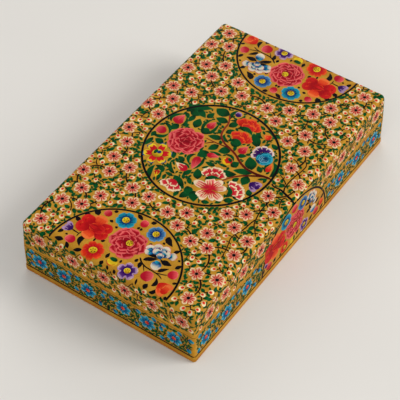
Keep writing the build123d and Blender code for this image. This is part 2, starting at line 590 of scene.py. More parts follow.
def spine_at(points, t):
    """Points along a spine: straight for two points, one bow for three, a smooth run for more."""
    points = np.asarray(points, float)
    if len(points) == 2:
        return points[0] + t[:, None] * (points[1] - points[0])
    if len(points) == 3:
        bow = 2 * points[1] - (points[0] + points[2]) / 2
        t = t[:, None]
        return (1 - t) ** 2 * points[0] + 2 * t * (1 - t) * bow + t ** 2 * points[2]
    padded = np.vstack([2 * points[0] - points[1], points, 2 * points[-1] - points[-2]])
    spans = len(points) - 1
    step = np.minimum((t * spans).astype(int), spans - 1)
    f = (t * spans - step)[:, None]
    a, b, c, d = (padded[step + i] for i in range(4))
    square = (2 * a - 5 * b + 4 * c - d) * f ** 2
    cube = (3 * b - a - 3 * c + d) * f ** 3
    return 0.5 * (2 * b + (c - a) * f + square + cube)


def stroke_faces(rows, columns):
    """Corner numbers and face sizes of one closed stroke: underside first, then the rim, then the top."""
    inner = rows - 2
    tip = 1 + inner * columns
    low_base = tip + 1
    low_tip = low_base + 1 + 2 * inner
    top = [[1 + row * columns + column for column in range(columns)] for row in range(inner)]
    right = [low_base + 1 + 2 * row for row in range(inner)]
    left = [low_base + 2 + 2 * row for row in range(inner)]
    faces = [(low_base, left[0], right[0])]
    faces += [(right[i], left[i], left[i + 1], right[i + 1]) for i in range(inner - 1)]
    faces += [(right[-1], left[-1], low_tip)]
    upper = [0] + [row[0] for row in top] + [tip] + [row[-1] for row in reversed(top)]
    lower = [low_base] + right + [low_tip] + left[::-1]
    for i in range(len(upper)):
        j = (i + 1) % len(upper)
        faces.append((lower[i], lower[j], upper[j], upper[i]))
    faces += [(a, b, 0) for a, b in zip(top[0], top[0][1:])]
    for near, far in zip(top, top[1:]):
        faces += [(near[j], far[j], far[j + 1], near[j + 1]) for j in range(columns - 1)]
    faces += [(a, tip, b) for a, b in zip(top[-1], top[-1][1:])]
    return np.array([corner for face in faces for corner in face]), np.array([len(face) for face in faces])


stroke_patterns = {}


def stroke_pattern(rows, columns):
    """The faces for one grid size, made once."""
    if (rows, columns) not in stroke_patterns:
        stroke_patterns[rows, columns] = stroke_faces(rows, columns)
    return stroke_patterns[rows, columns]


corners, sizes = stroke_pattern(6, 3)
print("a small leaf has", len(sizes), "faces and", corners.max() + 1, "points")

# %% [markdown]
# ## Coats and canvases
# Strokes of one kind are gathered in a coat, which later becomes one piece on the lid and one on
# the base. A canvas says where on a sheet a motif is drawn, and how far it is moved, turned and
# scaled, so each flower is described once around its own middle.

# %% Coats
class Coat:
    """All strokes of one kind on the closed box, and the paints they are laid with."""

    def __init__(self, name, number):
        self.name = name
        self.number = number
        self.paint_names = []
        self.places, self.facings, self.strokes, self.flats = [], [], [], []
        self.corners, self.sizes, self.paint_numbers = [], [], []
        self.points = 0
        self.count = 0

    def paint_number(self, paint_name):
        """The place of a paint in this coat's list, where it is put when it is first used."""
        if paint_name not in self.paint_names:
            self.paint_names.append(paint_name)
        return self.paint_names.index(paint_name)


coat_names = ("gold_lines", "ink_lines", "stems", "leaves", "blossoms", "buds", "petals", "touches")
coats = {name: Coat(name, number) for number, name in enumerate(coat_names)}
print("coats:", list(coats))

# %% Canvases
class Canvas:
    """A place to draw on a sheet."""

    def __init__(self, sheet, matrix=((1, 0), (0, 1)), at=(0, 0)):
        self.sheet = sheet
        self.matrix = np.array(matrix, float)
        self.at = np.array(at, float)
        self.scale = abs(np.linalg.det(self.matrix)) ** 0.5

    def spot(self, x, y, turn=0.0, scale=1.0):
        """A smaller canvas with its middle at x, y of this one."""
        c, s = math.cos(math.radians(turn)), math.sin(math.radians(turn))
        own = np.array([[c, -s], [s, c]]) * scale
        return Canvas(self.sheet, self.matrix @ own, self.matrix @ np.array([x, y], float) + self.at)

    def flat(self, points):
        """Points of this canvas on the sheet."""
        return np.asarray(points, float).reshape(-1, 2) @ self.matrix.T + self.at


print("a canvas half the size of the lid's own has scale", Canvas("top").spot(0, 0, 30, 0.5).scale)

# %% [markdown]
# ## One stroke
# A stroke needs more rows where it is long, and closer ones where it goes round an edge. Its height
# grows with its level, so later paint covers earlier paint. Two strokes of one level that cross would
# have their tops in the same plane, which renders as black patches, so each stroke is also slipped up
# by a hair of its own.

# %% Measures of a stroke
paint_step = 0.024      # each level of paint lies this much above the last
paint_slip = 0.0003     # within a level, strokes differ by a few of these, so no two faces meet
paint_slots = 79        # and by this many of them at most
paint_floor = 0.035     # height of the first level
paint_foot = 0.06       # how far a stroke's underside is sunk
stroke_row = 1.3        # longest part of a stroke between two rows on a flat face
bend_row = 0.45         # and where it goes round an edge
hand_wobble = 0.05      # share of its width by which a stroke swells and thins
map_inset = 0.12        # how much smaller an underside is drawn on the flat map, at most
map_tip = 0.05          # and how much shorter at each end
chance = np.random.default_rng(20)
print("the highest paint stands at", round(paint_floor + 9 * paint_step + paint_slots * paint_slip, 2), "mm")

# %% Laying a stroke
def stroke_grid(points, full, rows, columns, shape, dent, wave):
    """Flat points of a stroke in rows from root to tip, and what is measured along the rows."""
    evenly = np.linspace(0, 1, rows)
    t = evenly if shape in (line_shape, taper_shape) else (1 - np.cos(math.pi * evenly)) / 2
    line = spine_at(points, t)
    heading = np.gradient(line, axis=0)
    heading /= np.maximum(np.linalg.norm(heading, axis=1), 1e-9)[:, None]
    sideways = np.stack([-heading[:, 1], heading[:, 0]], 1)
    wobble = 1 + hand_wobble * np.sin(wave + 5 * t)
    least = 0.08 if shape in (line_shape, taper_shape) else 0.03
    half = np.maximum(shape(t) * wobble, least) * full / 2
    spread = np.linspace(-1, 1, columns)
    grid = line[:, None, :] + sideways[:, None, :] * (half[:, None] * spread[None, :])[..., None]
    if dent:
        grid -= heading[:, None, :] * (dent * t[:, None] ** 5 * (1 - spread[None, :] ** 2))[..., None]
    return grid, t, spread, half, heading, sideways


def stroke(canvas, coat_name, paint_name, spine, width, shape=leaf_shape, level=0, notch=0.0, rows=5):
    """Lays one stroke of paint: its spine and width on a canvas, its coat, its paint and its level."""
    coat = coats[coat_name]
    points = canvas.flat(spine)
    full = width * canvas.scale
    length = np.linalg.norm(np.diff(points, axis=0), axis=1).sum()
    bent = any(on_a_bend(canvas.sheet, points + shift) for shift in (0, full / 2, -full / 2))
    step = bend_row if bent else stroke_row
    rows = max(rows, int(math.ceil(length / step)) + 2, 4 if shape in (line_shape, taper_shape) else 6)
    columns = 2 * max(1, int(math.ceil(full / (2 * step)))) + 1
    grid, t, spread, half, heading, sideways = stroke_grid(points, full, rows, columns, shape,
                                                           notch * canvas.scale, 2.4 * coat.count)
    inner = grid[1:-1]
    base, tip = grid[0, columns // 2], grid[-1, columns // 2]
    upper = np.vstack([base, inner.reshape(-1, 2), tip])
    lower = np.vstack([base, inner[:, [0, -1]].reshape(-1, 2), tip])
    inset = np.minimum(map_inset, half[1:-1] * 0.5)[:, None] * sideways[1:-1]
    sides = np.stack([inner[:, 0] + inset, inner[:, -1] - inset], 1).reshape(-1, 2)
    lower_map = np.vstack([base + heading[0] * map_tip, sides, tip - heading[-1] * map_tip])
    along = np.concatenate([[0], np.repeat(t[1:-1], columns), [1], [0], np.repeat(t[1:-1], 2), [1]])
    over = np.concatenate([[0], np.tile(spread, rows - 2), [0], [0], np.tile([-1.0, 1.0], rows - 2), [0]])
    flat = np.vstack([upper, lower_map])
    true = np.vstack([upper, lower])
    place, facing = wrap(canvas.sheet, true[:, 0], true[:, 1])
    slot = (7 * coat.count + 11 * coat.number) % paint_slots
    lift = paint_floor + paint_step * level + paint_slip * slot
    heights = np.concatenate([np.full(len(upper), lift), np.full(len(lower), -paint_foot)])
    corners, sizes = stroke_pattern(rows, columns)
    coat.places.append(place + facing * heights[:, None])
    coat.facings.append(facing)
    coat.strokes.append(np.stack([along, over, np.full(len(along), chance.random())], 1))
    coat.flats.append(np.column_stack([flat, np.full(len(flat), SHEETS.index(canvas.sheet))]))
    coat.corners.append(corners + coat.points)
    coat.sizes.append(sizes)
    coat.paint_numbers.append(np.full(len(sizes), coat.paint_number(paint_name)))
    coat.points += len(along)
    coat.count += 1


print("longest row of a stroke:", stroke_row, "mm on a face and", bend_row, "mm on a bend")

# %% [markdown]
# ## Leaves, buds and blossoms of the field
# The field pattern is a traditional one: small six-petalled blossoms on a net of fine stems, with
# cream buds and little green leaves filling every gap. The blossoms are placed one by one, because
# their even but lively spacing is the painter's skill; stems, buds and leaves are grown from them.
# The base has the same blossom with seven blue petals.

# %% Field motifs
field_petals = 6
vine_petals = 7


def pink_marks(arm, half):
    """A pale horseshoe and a red curl on one pink petal."""
    shoe = [(0.28, -half * 0.30), (0.66, -half * 0.84), (0.93, 0), (0.66, half * 0.84), (0.28, half * 0.30)]
    stroke(arm, "touches", "cream", shoe, 0.125, line_shape, 4)
    curl = [(0.24, 0.0), (0.50, chance.uniform(-0.07, 0.07)), (0.78, chance.uniform(-0.10, 0.10))]
    stroke(arm, "touches", "crimson", curl, 0.145, leaf_shape, 5)


def blue_marks(arm, half):
    """A pale edge and a fine vein on one blue petal."""
    edge = [(0.40, half * 0.5), (0.70, half * 0.66), (0.91, 0)]
    stroke(arm, "touches", "pale_blue", edge, 0.10, leaf_shape, 4)
    vein = [(0.34, 0.0), (0.66, chance.uniform(-0.05, 0.05))]
    stroke(arm, "touches", "deep_blue", vein, 0.08, leaf_shape, 5)


def blossom(canvas, x, y, radius, is_blue=False):
    """An open blossom: marked petals, dark lines that part them, and an eye."""
    start = chance.uniform(0, 360)
    petals = vine_petals if is_blue else field_petals
    half = 1.96 / petals
    for number in range(petals):
        turn = start + number * 360 / petals + chance.uniform(-4, 4)
        arm = canvas.spot(x, y, turn, radius * chance.uniform(0.94, 1.06))
        body = "teal" if is_blue else "blossom"
        stroke(arm, "blossoms", body, [(0.10, 0), (1.0, 0)], half * 2, petal_shape, 3)
        (blue_marks if is_blue else pink_marks)(arm, half)
    for number in range(petals):
        gap = canvas.spot(x, y, start + (number + 0.5) * 360 / petals, radius)
        line = [(0.20, 0), (0.82, chance.uniform(-0.05, 0.05))]
        stroke(gap, "touches", "deep_blue" if is_blue else "crimson", line, 0.16, leaf_shape, 5)
    eye = canvas.spot(x, y, start, radius)
    if is_blue:
        stroke(eye, "touches", "orange", [(-0.25, 0), (0.25, 0)], 0.50, round_shape, 6)
        stroke(eye, "touches", "vermilion", [(-0.12, 0), (0.12, 0)], 0.22, round_shape, 7)
    else:
        stroke(eye, "touches", "ink", [(-0.22, 0), (0.22, 0.02)], 0.41, round_shape, 6)


def small_bud(canvas, x, y, foot, size, is_blue=False):
    """A plump bud with a dot at the foot, turned away from its stem."""
    turn = math.degrees(math.atan2(y - foot[1], x - foot[0]))
    ball = canvas.spot(x, y, turn, size)
    body, mark, dot = ("teal", "deep_blue", 0.30) if is_blue else ("cream", "vermilion", 0.52)
    stroke(ball, "buds", body, [(-0.50, 0), (0.54, 0)], 0.82, round_shape, 2)
    stroke(ball, "touches", mark, [(-0.34, 0), (dot - 0.34, 0)], dot * 0.96, round_shape, 3)


def small_leaf(canvas, x, y, turn, length, width, paint_name):
    """One short brush press."""
    lean = chance.uniform(-0.12, 0.12) * length
    spine = [(-length / 2, 0), (0, lean), (length / 2, 0)]
    stroke(canvas.spot(x, y, turn), "leaves", paint_name, spine, width, leaf_shape, 1)


def circle_line(canvas, radius, width, start=0.0, sweep=360.0, parts=3):
    """A drawn circle or arc round a canvas's middle, laid in a few overlapping pulls of the brush."""
    pull = sweep / parts
    lap = 4.0 if sweep >= 360 else 0.0
    for part in range(parts):
        angles = np.radians(start + part * pull + np.linspace(-lap, pull + lap, 25))
        ring = np.stack([radius * np.cos(angles), radius * np.sin(angles)], 1)
        stroke(canvas, "ink_lines", "ink", ring, width, line_shape, 2)


print("a field blossom takes", 4 * field_petals + 1, "strokes and a blue one", 4 * vine_petals + 2)

# %% Growing the field
class Field:
    """Keeps what is already painted on one sheet, so that nothing new is painted over it."""

    tile = 7.0

    def __init__(self, canvas, inside):
        self.canvas = canvas
        self.inside = inside
        self.discs = {}     # what is painted already, as discs
        self.twigs = {}     # places on stems, from which twigs may leave

    def around(self, table, x, y):
        """Everything kept in the tiles round a place."""
        column, row = int(x // self.tile), int(y // self.tile)
        for i in (column - 1, column, column + 1):
            for j in (row - 1, row, row + 1):
                yield from table.get((i, j), ())

    def keep(self, table, x, y, *rest):
        """Puts a place into its tile."""
        table.setdefault((int(x // self.tile), int(y // self.tile)), []).append((x, y, *rest))

    def free(self, x, y, radius):
        """True if a disc fits at x, y."""
        if not self.inside(x, y, radius):
            return False
        near = self.around(self.discs, x, y)
        return all((x - a) ** 2 + (y - b) ** 2 > (r + radius) ** 2 for a, b, r in near)

    def take(self, x, y, radius):
        """Marks a disc as painted."""
        self.keep(self.discs, x, y, radius)

    def draw_stem(self, points, width, paint_name="brown", clear=True):
        """A stem, remembered so that twigs can leave it."""
        stroke(self.canvas, "stems", paint_name, points, width, taper_shape)
        for x, y in spine_at(points, np.linspace(0.08, 0.92, 7)):
            self.keep(self.twigs, float(x), float(y))
        if clear:
            length = sum(math.dist(a, b) for a, b in zip(points, points[1:]))
            for x, y in spine_at(points, np.linspace(0.02, 0.98, max(3, int(length / 1.1)))):
                self.take(float(x), float(y), width * 0.45)

    def nearest_stem(self, x, y):
        """The nearest kept point of a stem, and how far it is."""
        near = list(self.around(self.twigs, x, y)) or [(x + self.tile, y)]
        foot = min(near, key=lambda p: (p[0] - x) ** 2 + (p[1] - y) ** 2)
        return np.array(foot), math.dist(foot, (x, y))

    def join_blossoms(self, flowers, first, width, longest):
        """Stems along the shortest tree from the first place to every blossom."""
        reached = [tuple(first)]
        left = [tuple(f) for f in flowers if tuple(f) != tuple(first)]
        nearest = {b: (self.cost(reached[0], b), reached[0]) for b in left}
        while left:
            end = min(left, key=lambda b: nearest[b][0])
            gap, start = nearest[end]
            if gap < longest:
                run = np.subtract(end, start)
                bow = np.array([-run[1], run[0]]) * chance.choice([-1, 1]) * chance.uniform(0.14, 0.28)
                self.draw_stem([start, np.add(start, end) / 2 + bow, end], width)
            left.remove(end)
            for b in left:
                nearest[b] = min(nearest[b], (self.cost(end, b), end))

    def cost(self, start, end):
        """Length of a stem, with a stem that would cross a roundel made very long."""
        for share in (0.25, 0.5, 0.75):
            x, y = np.add(start, np.subtract(end, start) * share)
            if not self.inside(x, y, 0.4):
                return 1000 + math.dist(start, end)
        return math.dist(start, end)

    def add_bud(self, x, y, size, is_blue=False):
        """A bud on a twig from the nearest stem."""
        foot, gap = self.nearest_stem(x, y)
        small_bud(self.canvas, x, y, foot, size, is_blue)
        self.take(x, y, size * 0.49)
        if 1.0 < gap < 11:
            side = np.array([-(y - foot[1]), x - foot[0]]) * chance.choice([-1, 1]) * 0.16
            self.draw_stem([foot, (foot + (x, y)) / 2 + side, (x, y)], 0.66)

    def scatter_buds(self, count, size, box):
        """Buds dropped where there is room for them."""
        done = tries = 0
        while done < count and tries < count * 80:
            tries += 1
            x, y = chance.uniform(box[0], box[1]), chance.uniform(box[2], box[3])
            if self.free(x, y, size * 0.5 + 0.55):
                self.add_bud(x, y, size * chance.uniform(0.9, 1.08))
                done += 1
        return done

    def scatter_leaves(self, count, lengths, box, paint_name="leaf", slim=0.50, twigs=True):
        """Leaves in the gaps that are left, pointing away from the nearest stem."""
        done = tries = 0
        while done < count and tries < count * 60:
            tries += 1
            x, y = chance.uniform(box[0], box[1]), chance.uniform(box[2], box[3])
            length = chance.uniform(*lengths)
            foot, gap = self.nearest_stem(x, y)
            turn = math.atan2(y - foot[1], x - foot[0]) + chance.uniform(-0.9, 0.9)
            width = length * chance.uniform(slim * 0.85, slim * 1.15)
            reach = (length - width) / 2
            ends = [(x + k * reach * math.cos(turn), y + k * reach * math.sin(turn)) for k in (-1, 0, 1)]
            if all(self.free(a, b, width * 0.41) for a, b in ends):
                small_leaf(self.canvas, x, y, math.degrees(turn), length * 1.1, width * 1.15, paint_name)
                for a, b in ends:
                    self.take(a, b, width * 0.43)
                if twigs and 1.2 < gap < 5:
                    self.draw_stem([foot, (foot + (x, y)) / 2, (x, y)], 0.46, clear=False)
                done += 1
        return done


print("a field keeps what it holds in tiles of", Field.tile, "mm")

# %% [markdown]
# ## The field on the lid
# The roundels are kept free. Blossoms near the edge run over the rounding, as they do where a
# painter carries the pattern on round the box.

# %% The field on the lid
roundel = (1.0, 0.4, 34.9)              # middle and radius
end_roundel = (-85.5, -0.2, 34.6)
far_roundel = (87.0, 0.2, 34.2)
roundels = [roundel, end_roundel, far_roundel]
blossom_radius = 4.14
lid_bend = edge_round * quarter / 2     # half of the way round a top edge belongs to the lid
top_u = half_length - edge_round + lid_bend
top_v = half_width - edge_round + lid_bend


def on_lid_field(x, y, radius):
    """Inside the lid and clear of the roundels."""
    if abs(x) > top_u - radius * 0.3 or abs(y) > top_v - radius * 0.3:
        return False
    return all(math.hypot(x - cx, y - cy) > r + 0.45 + radius for cx, cy, r in roundels)


lid_blossoms = [
    (-81.5, 44.3), (-65.5, 43.7), (-54.2, 40.3), (-44, 47), (-62.8, 33.7), (-53.3, 29.3), (-37.5, 35.5),
    (-28, 40), (-15.8, 40.6), (-7, 45.8), (-29.8, 28.7), (-40, 19.5), (-48.2, 13.7), (-40.3, 9.3),
    (9.2, 38.9), (22.7, 39.2), (13.3, 48.3), (31, 44.6), (46.8, 46.3), (32.2, 34), (48.3, 32), (54.3, 39.5),
    (59.2, 30.4), (69.2, 46.3), (73, 37.2), (81.8, 43), (41.7, 21.5), (52.2, 17.8), (45, 10.7),
    (-43.3, -4), (-47.6, -13), (-38.5, -12.2), (-52.2, -23.8), (-43.6, -27.7), (-27.8, -28.7),
    (-51.5, -33), (-67.2, -37.7), (-81.3, -42.8), (-64.8, -47.8), (-47.8, -46), (-37, -46.5),
    (-33.2, -36.5), (-23, -36.7), (-14.4, -46.8), (-6.6, -39), (44.8, -5.3), (39.3, -14), (49.8, -15.8),
    (30.7, -26.8), (54.5, -27.3), (39.3, -32), (63.3, -32.7), (15.7, -38.3), (29.3, -37.8), (54.4, -37.7),
    (8, -47.2), (43.2, -46.7), (69.5, -44.2), (80.4, -43)]
top_canvas = Canvas("top")
lid_field = Field(top_canvas, on_lid_field)
for x, y in lid_blossoms:
    lid_field.take(x, y, 4.0)
main_stems = [
    (1.4, [(-2.9, -53.0), (-1.7, -47.9), (-0.6, -44.7), (0.3, -41.9), (0.3, -37.9), (1.1, -35.9)]),
    (0.8, [(-0.6, -44.2), (2.3, -42.8), (6.8, -42.5), (12.5, -43.0), (18.2, -43.9), (21.6, -43.6),
           (24.4, -41.3)]),
    (0.7, [(4.5, -42.2), (6.8, -39.6), (8.5, -36.4)]),
    (0.7, [(-2.3, -47.0), (-4.5, -45.9), (-8.0, -46.5), (-10.8, -47.9)]),
    (0.8, [(-9.4, -41.3), (-13.6, -41.1), (-18.2, -41.3), (-22.7, -42.2), (-26.1, -43.3), (-29.0, -45.6),
           (-32.4, -48.2)]),
    (0.7, [(-22.7, -42.2), (-27.3, -41.3), (-31.2, -40.9), (-38.6, -38.8), (-42.6, -39.6), (-46.6, -40.8),
           (-52.0, -41.8)]),
    (0.6, [(21.6, -44.8), (23.9, -47.0), (25.6, -49.3)]),
    (0.6, [(28.4, -45.3), (30.7, -47.3), (34.1, -47.0), (36.9, -45.6)]),
    (0.6, [(34.1, -41.9), (36.9, -44.8), (38.6, -48.2)]),
    (0.7, [(34.7, -36.2), (40.9, -34.5), (50.0, -34.5)]),
    (0.7, [(35.2, -28.6), (46.6, -28.3), (52.0, -25.0)])]
for width, line in main_stems:
    lid_field.draw_stem(line, width, "ink" if width > 1 else "brown")
lid_field.join_blossoms(lid_blossoms, (-6.6, -39), 0.98, 60)
for x, y in lid_blossoms:
    blossom(top_canvas, x, y, blossom_radius)
field_box = (-top_u, top_u, -top_v, top_v)
bud_size = 2.9
bud_count = lid_field.scatter_buds(185, bud_size, field_box)
leaf_count = lid_field.scatter_leaves(700, (2.5, 3.8), field_box, slim=0.58)
leaf_count += lid_field.scatter_leaves(800, (1.5, 2.4), field_box, slim=0.60)
print(f"lid field: {len(lid_blossoms)} blossoms, {bud_count} buds, {leaf_count} leaves")

# %% [markdown]
# ## Flowers of the bouquets
# The large flowers are laid ring by ring from the outside in, each petal over the last, because that
# order gives the cupped look of a garden rose. Every flower is drawn on a canvas whose unit is its
# own radius, so one function serves every size.

# %% Rose and golden eye
def golden_eye(canvas, x, y, radius, level):
    """A yellow middle with dark grains."""
    eye = canvas.spot(x, y, chance.uniform(0, 90), radius)
    stroke(eye, "petals", "yellow", [(-1, 0), (1, 0)], 2.0, round_shape, level)
    for number in range(5):
        turn = math.radians(number * 72 + chance.uniform(-12, 12))
        dot = eye.spot(0.56 * math.cos(turn), 0.56 * math.sin(turn), number * 70)
        stroke(dot, "touches", "ink", [(-0.20, 0), (0.20, 0)], 0.26, leaf_shape, level + 1)
    stroke(eye, "touches", "ink", [(-0.16, 0), (0.16, 0.06)], 0.24, leaf_shape, level + 1)


def crescent(canvas, paint_name, turn, span, radius, rise=0.1):
    """A curved press of the brush that follows a circle and slowly leaves it."""
    arc = np.radians(turn + np.linspace(-span / 2, span / 2, 7))
    reach = radius * (1 + rise * np.linspace(-0.5, 0.5, 7))
    curl = np.stack([reach * np.cos(arc), reach * np.sin(arc)], 1)
    stroke(canvas, "petals", paint_name, curl, 0.07, leaf_shape, 7)


def rose(canvas, petals=9, has_eye=False):
    """A full rose: rings of crimson petals with wide pink edges, each ring over the roots of the last."""
    rings = ((petals, 0.24, 1.02, 0.74), (petals - 2, 0.12, 0.80, 0.68),
             (petals - 4, 0.02, 0.58, 0.60), (3, -0.06, 0.36, 0.50))
    for ring, (count, root, reach, width) in enumerate(rings):
        for number in range(count):
            arm = canvas.spot(0, 0, 23 * ring + number * 360 / count + chance.uniform(-11, 11))
            far = reach * chance.uniform(0.96, 1.03)
            lean = chance.uniform(-0.08, 0.08)
            stroke(arm, "petals", "rose", [(root, 0), ((root + far) / 2, lean), (far, -lean)],
                   width * chance.uniform(0.85, 1.15), petal_shape, 3 + ring,
                   notch=chance.uniform(0.0, 0.06))
    for number in range(10):
        turn = number * 36 + chance.uniform(-12, 12)
        radius = chance.choice([0.30, 0.52, 0.74])
        tint = "deep_red" if number % 2 else "rose_light"
        crescent(canvas, tint, turn, 26 / radius ** 0.6, radius, chance.uniform(-0.5, 0.5))
    if has_eye:
        golden_eye(canvas, -0.08, -0.06, 0.19, 8)
    else:
        crescent(canvas, "rose_light", 30, 200, 0.12)


along_petal = np.linspace(0, 1, 101)
print("a petal is widest at", along_petal[petal_shape(along_petal).argmax()].round(2), "of its length")

# %% Open flowers
def petal_ring(canvas, paint_name, petals, root, reach, width, level, start=0.0, sweep=360.0, notch=0.04):
    """Petals set round a middle, or round part of it."""
    steps = petals if sweep >= 360 else petals - 1
    for number in range(petals):
        arm = canvas.spot(0, 0, start + number / steps * sweep + chance.uniform(-3, 3))
        far = reach * chance.uniform(0.96, 1.04)
        stroke(arm, "petals", paint_name, [(root, 0), (far, 0)], width, petal_shape, level, notch=notch)


ring_girth = 4.9        # the petals of an open flower side by side, in radii of the flower


def open_flower(canvas, paint_name, petals, eye, line):
    """A flat flower with a golden eye and dark lines on and between its petals."""
    start = chance.uniform(0, 40)
    petal_ring(canvas, paint_name, petals, 0.12, 1.0, ring_girth / petals, 4, start=start, notch=0.06)
    for number in range(petals):
        gap = canvas.spot(0, 0, start + (number + 0.5) * 360 / petals)
        stroke(gap, "touches", line, [(0.34, 0), (0.80, 0)], 0.09, leaf_shape, 5)
        arm = canvas.spot(0, 0, start + number * 360 / petals)
        stroke(arm, "touches", line, [(0.34, 0), (0.64, 0)], 0.14, leaf_shape, 5)
    golden_eye(canvas, 0, 0, eye, 6)


def pansy(canvas):
    """Five violet petals with pale edges round a golden eye."""
    petal_ring(canvas, "purple", 5, 0.08, 1.0, 0.80, 4, start=90, notch=0.05)
    for number in range(5):
        arm = canvas.spot(0, 0, 90 + number * 72)
        stroke(arm, "touches", "cream", [(0.80, -0.22), (0.97, 0.0), (0.80, 0.22)], 0.06, leaf_shape, 5)
    golden_eye(canvas, 0, 0, 0.32, 6)


def fan_flower(canvas, paint_name, petals, spread, width):
    """A carnation seen from the side: ruffled lobes in two rows, each dark at its own root."""
    for ring, (count, root, reach) in enumerate(((petals, 0.26, 1.0), (petals - 2, 0.0, 0.62))):
        for number in range(count):
            turn = (number / (count - 1) - 0.5) * (spread - 30 * ring) + chance.uniform(-7, 7)
            arm = canvas.spot(0, 0, turn)
            far = reach * chance.uniform(0.90, 1.08)
            stroke(arm, "petals", paint_name, [(root, 0), (far, chance.uniform(-0.05, 0.05))],
                   width * chance.uniform(0.85, 1.15), petal_shape, 4 + ring, notch=0.09)
            fold, fold_width = [(root, 0), (far - 0.20, 0)], 0.13
            if paint_name == "poppy":
                fold, fold_width = [(far - 0.34, -0.10), (far - 0.22, 0.0), (far - 0.30, 0.12)], 0.10
            stroke(arm, "touches", "crimson", fold, fold_width, leaf_shape, 5 + ring)


print("width of a petal in flowers of 6 and 7:", [round(ring_girth / petals, 2) for petals in (6, 7)])

# %% Buds, tulips and leaves
def closed_bud(canvas, x0, y0, x1, y1, width, paint_name="rose_bud", line_paint="crimson"):
    """A bud from its foot to its point, with one folded petal."""
    gap = np.array([x1 - x0, y1 - y0])
    side = np.array([-gap[1], gap[0]]) / max(np.linalg.norm(gap), 1e-9)
    foot = np.array([x0, y0])
    stroke(canvas, "petals", paint_name, [(x0, y0), (x1, y1)], width, drop_shape, 4)
    fold = [foot + gap * 0.06 + side * width * 0.20,
            foot + gap * 0.40 + side * width * 0.24,
            foot + gap * 0.90]
    stroke(canvas, "petals", paint_name, fold, width * 0.50, leaf_shape, 5)
    line = [foot + gap * 0.10, foot + gap * 0.40 - side * width * 0.06, foot + gap * 0.84]
    stroke(canvas, "touches", line_paint, line, width * 0.08, leaf_shape, 5)


def round_bud(canvas, x, y, radius, paint_name="rose_bud", turn=90.0):
    """A round bud, deep at its foot and pale at its far side."""
    ball = canvas.spot(x, y, turn, radius)
    stroke(ball, "petals", paint_name, [(-0.95, 0), (0.1, 0.1), (1.0, 0)], 1.9, round_shape, 4)


def tulip(canvas, paint_name):
    """Three petals rising side by side from one foot, drawn along +x."""
    for turn, reach, level in ((26, 1.0, 4), (-26, 1.0, 4), (0, 0.9, 5)):
        petal = canvas.spot(0, 0, turn)
        stroke(petal, "petals", paint_name, [(0.0, 0), (reach, 0)], 0.52, petal_shape, level)


def leaf(canvas, width, *ends, paint_name="dark_leaf"):
    """A leaf through two or three places given one after another."""
    stroke(canvas, "leaves", paint_name, np.reshape(ends, (-1, 2)), width, leaf_shape, 1)


print("a bud is widest at", along_petal[drop_shape(along_petal).argmax()].round(2), "of its length")

# %% [markdown]
# ## The bouquet in the middle roundel
# One rooted bouquet of garden flowers is the old form for a Kashmiri roundel: a rose at the heart,
# carnations, a lily and buds around it, and leaves pressed into every space. Places are given from the
# middle of the circle.

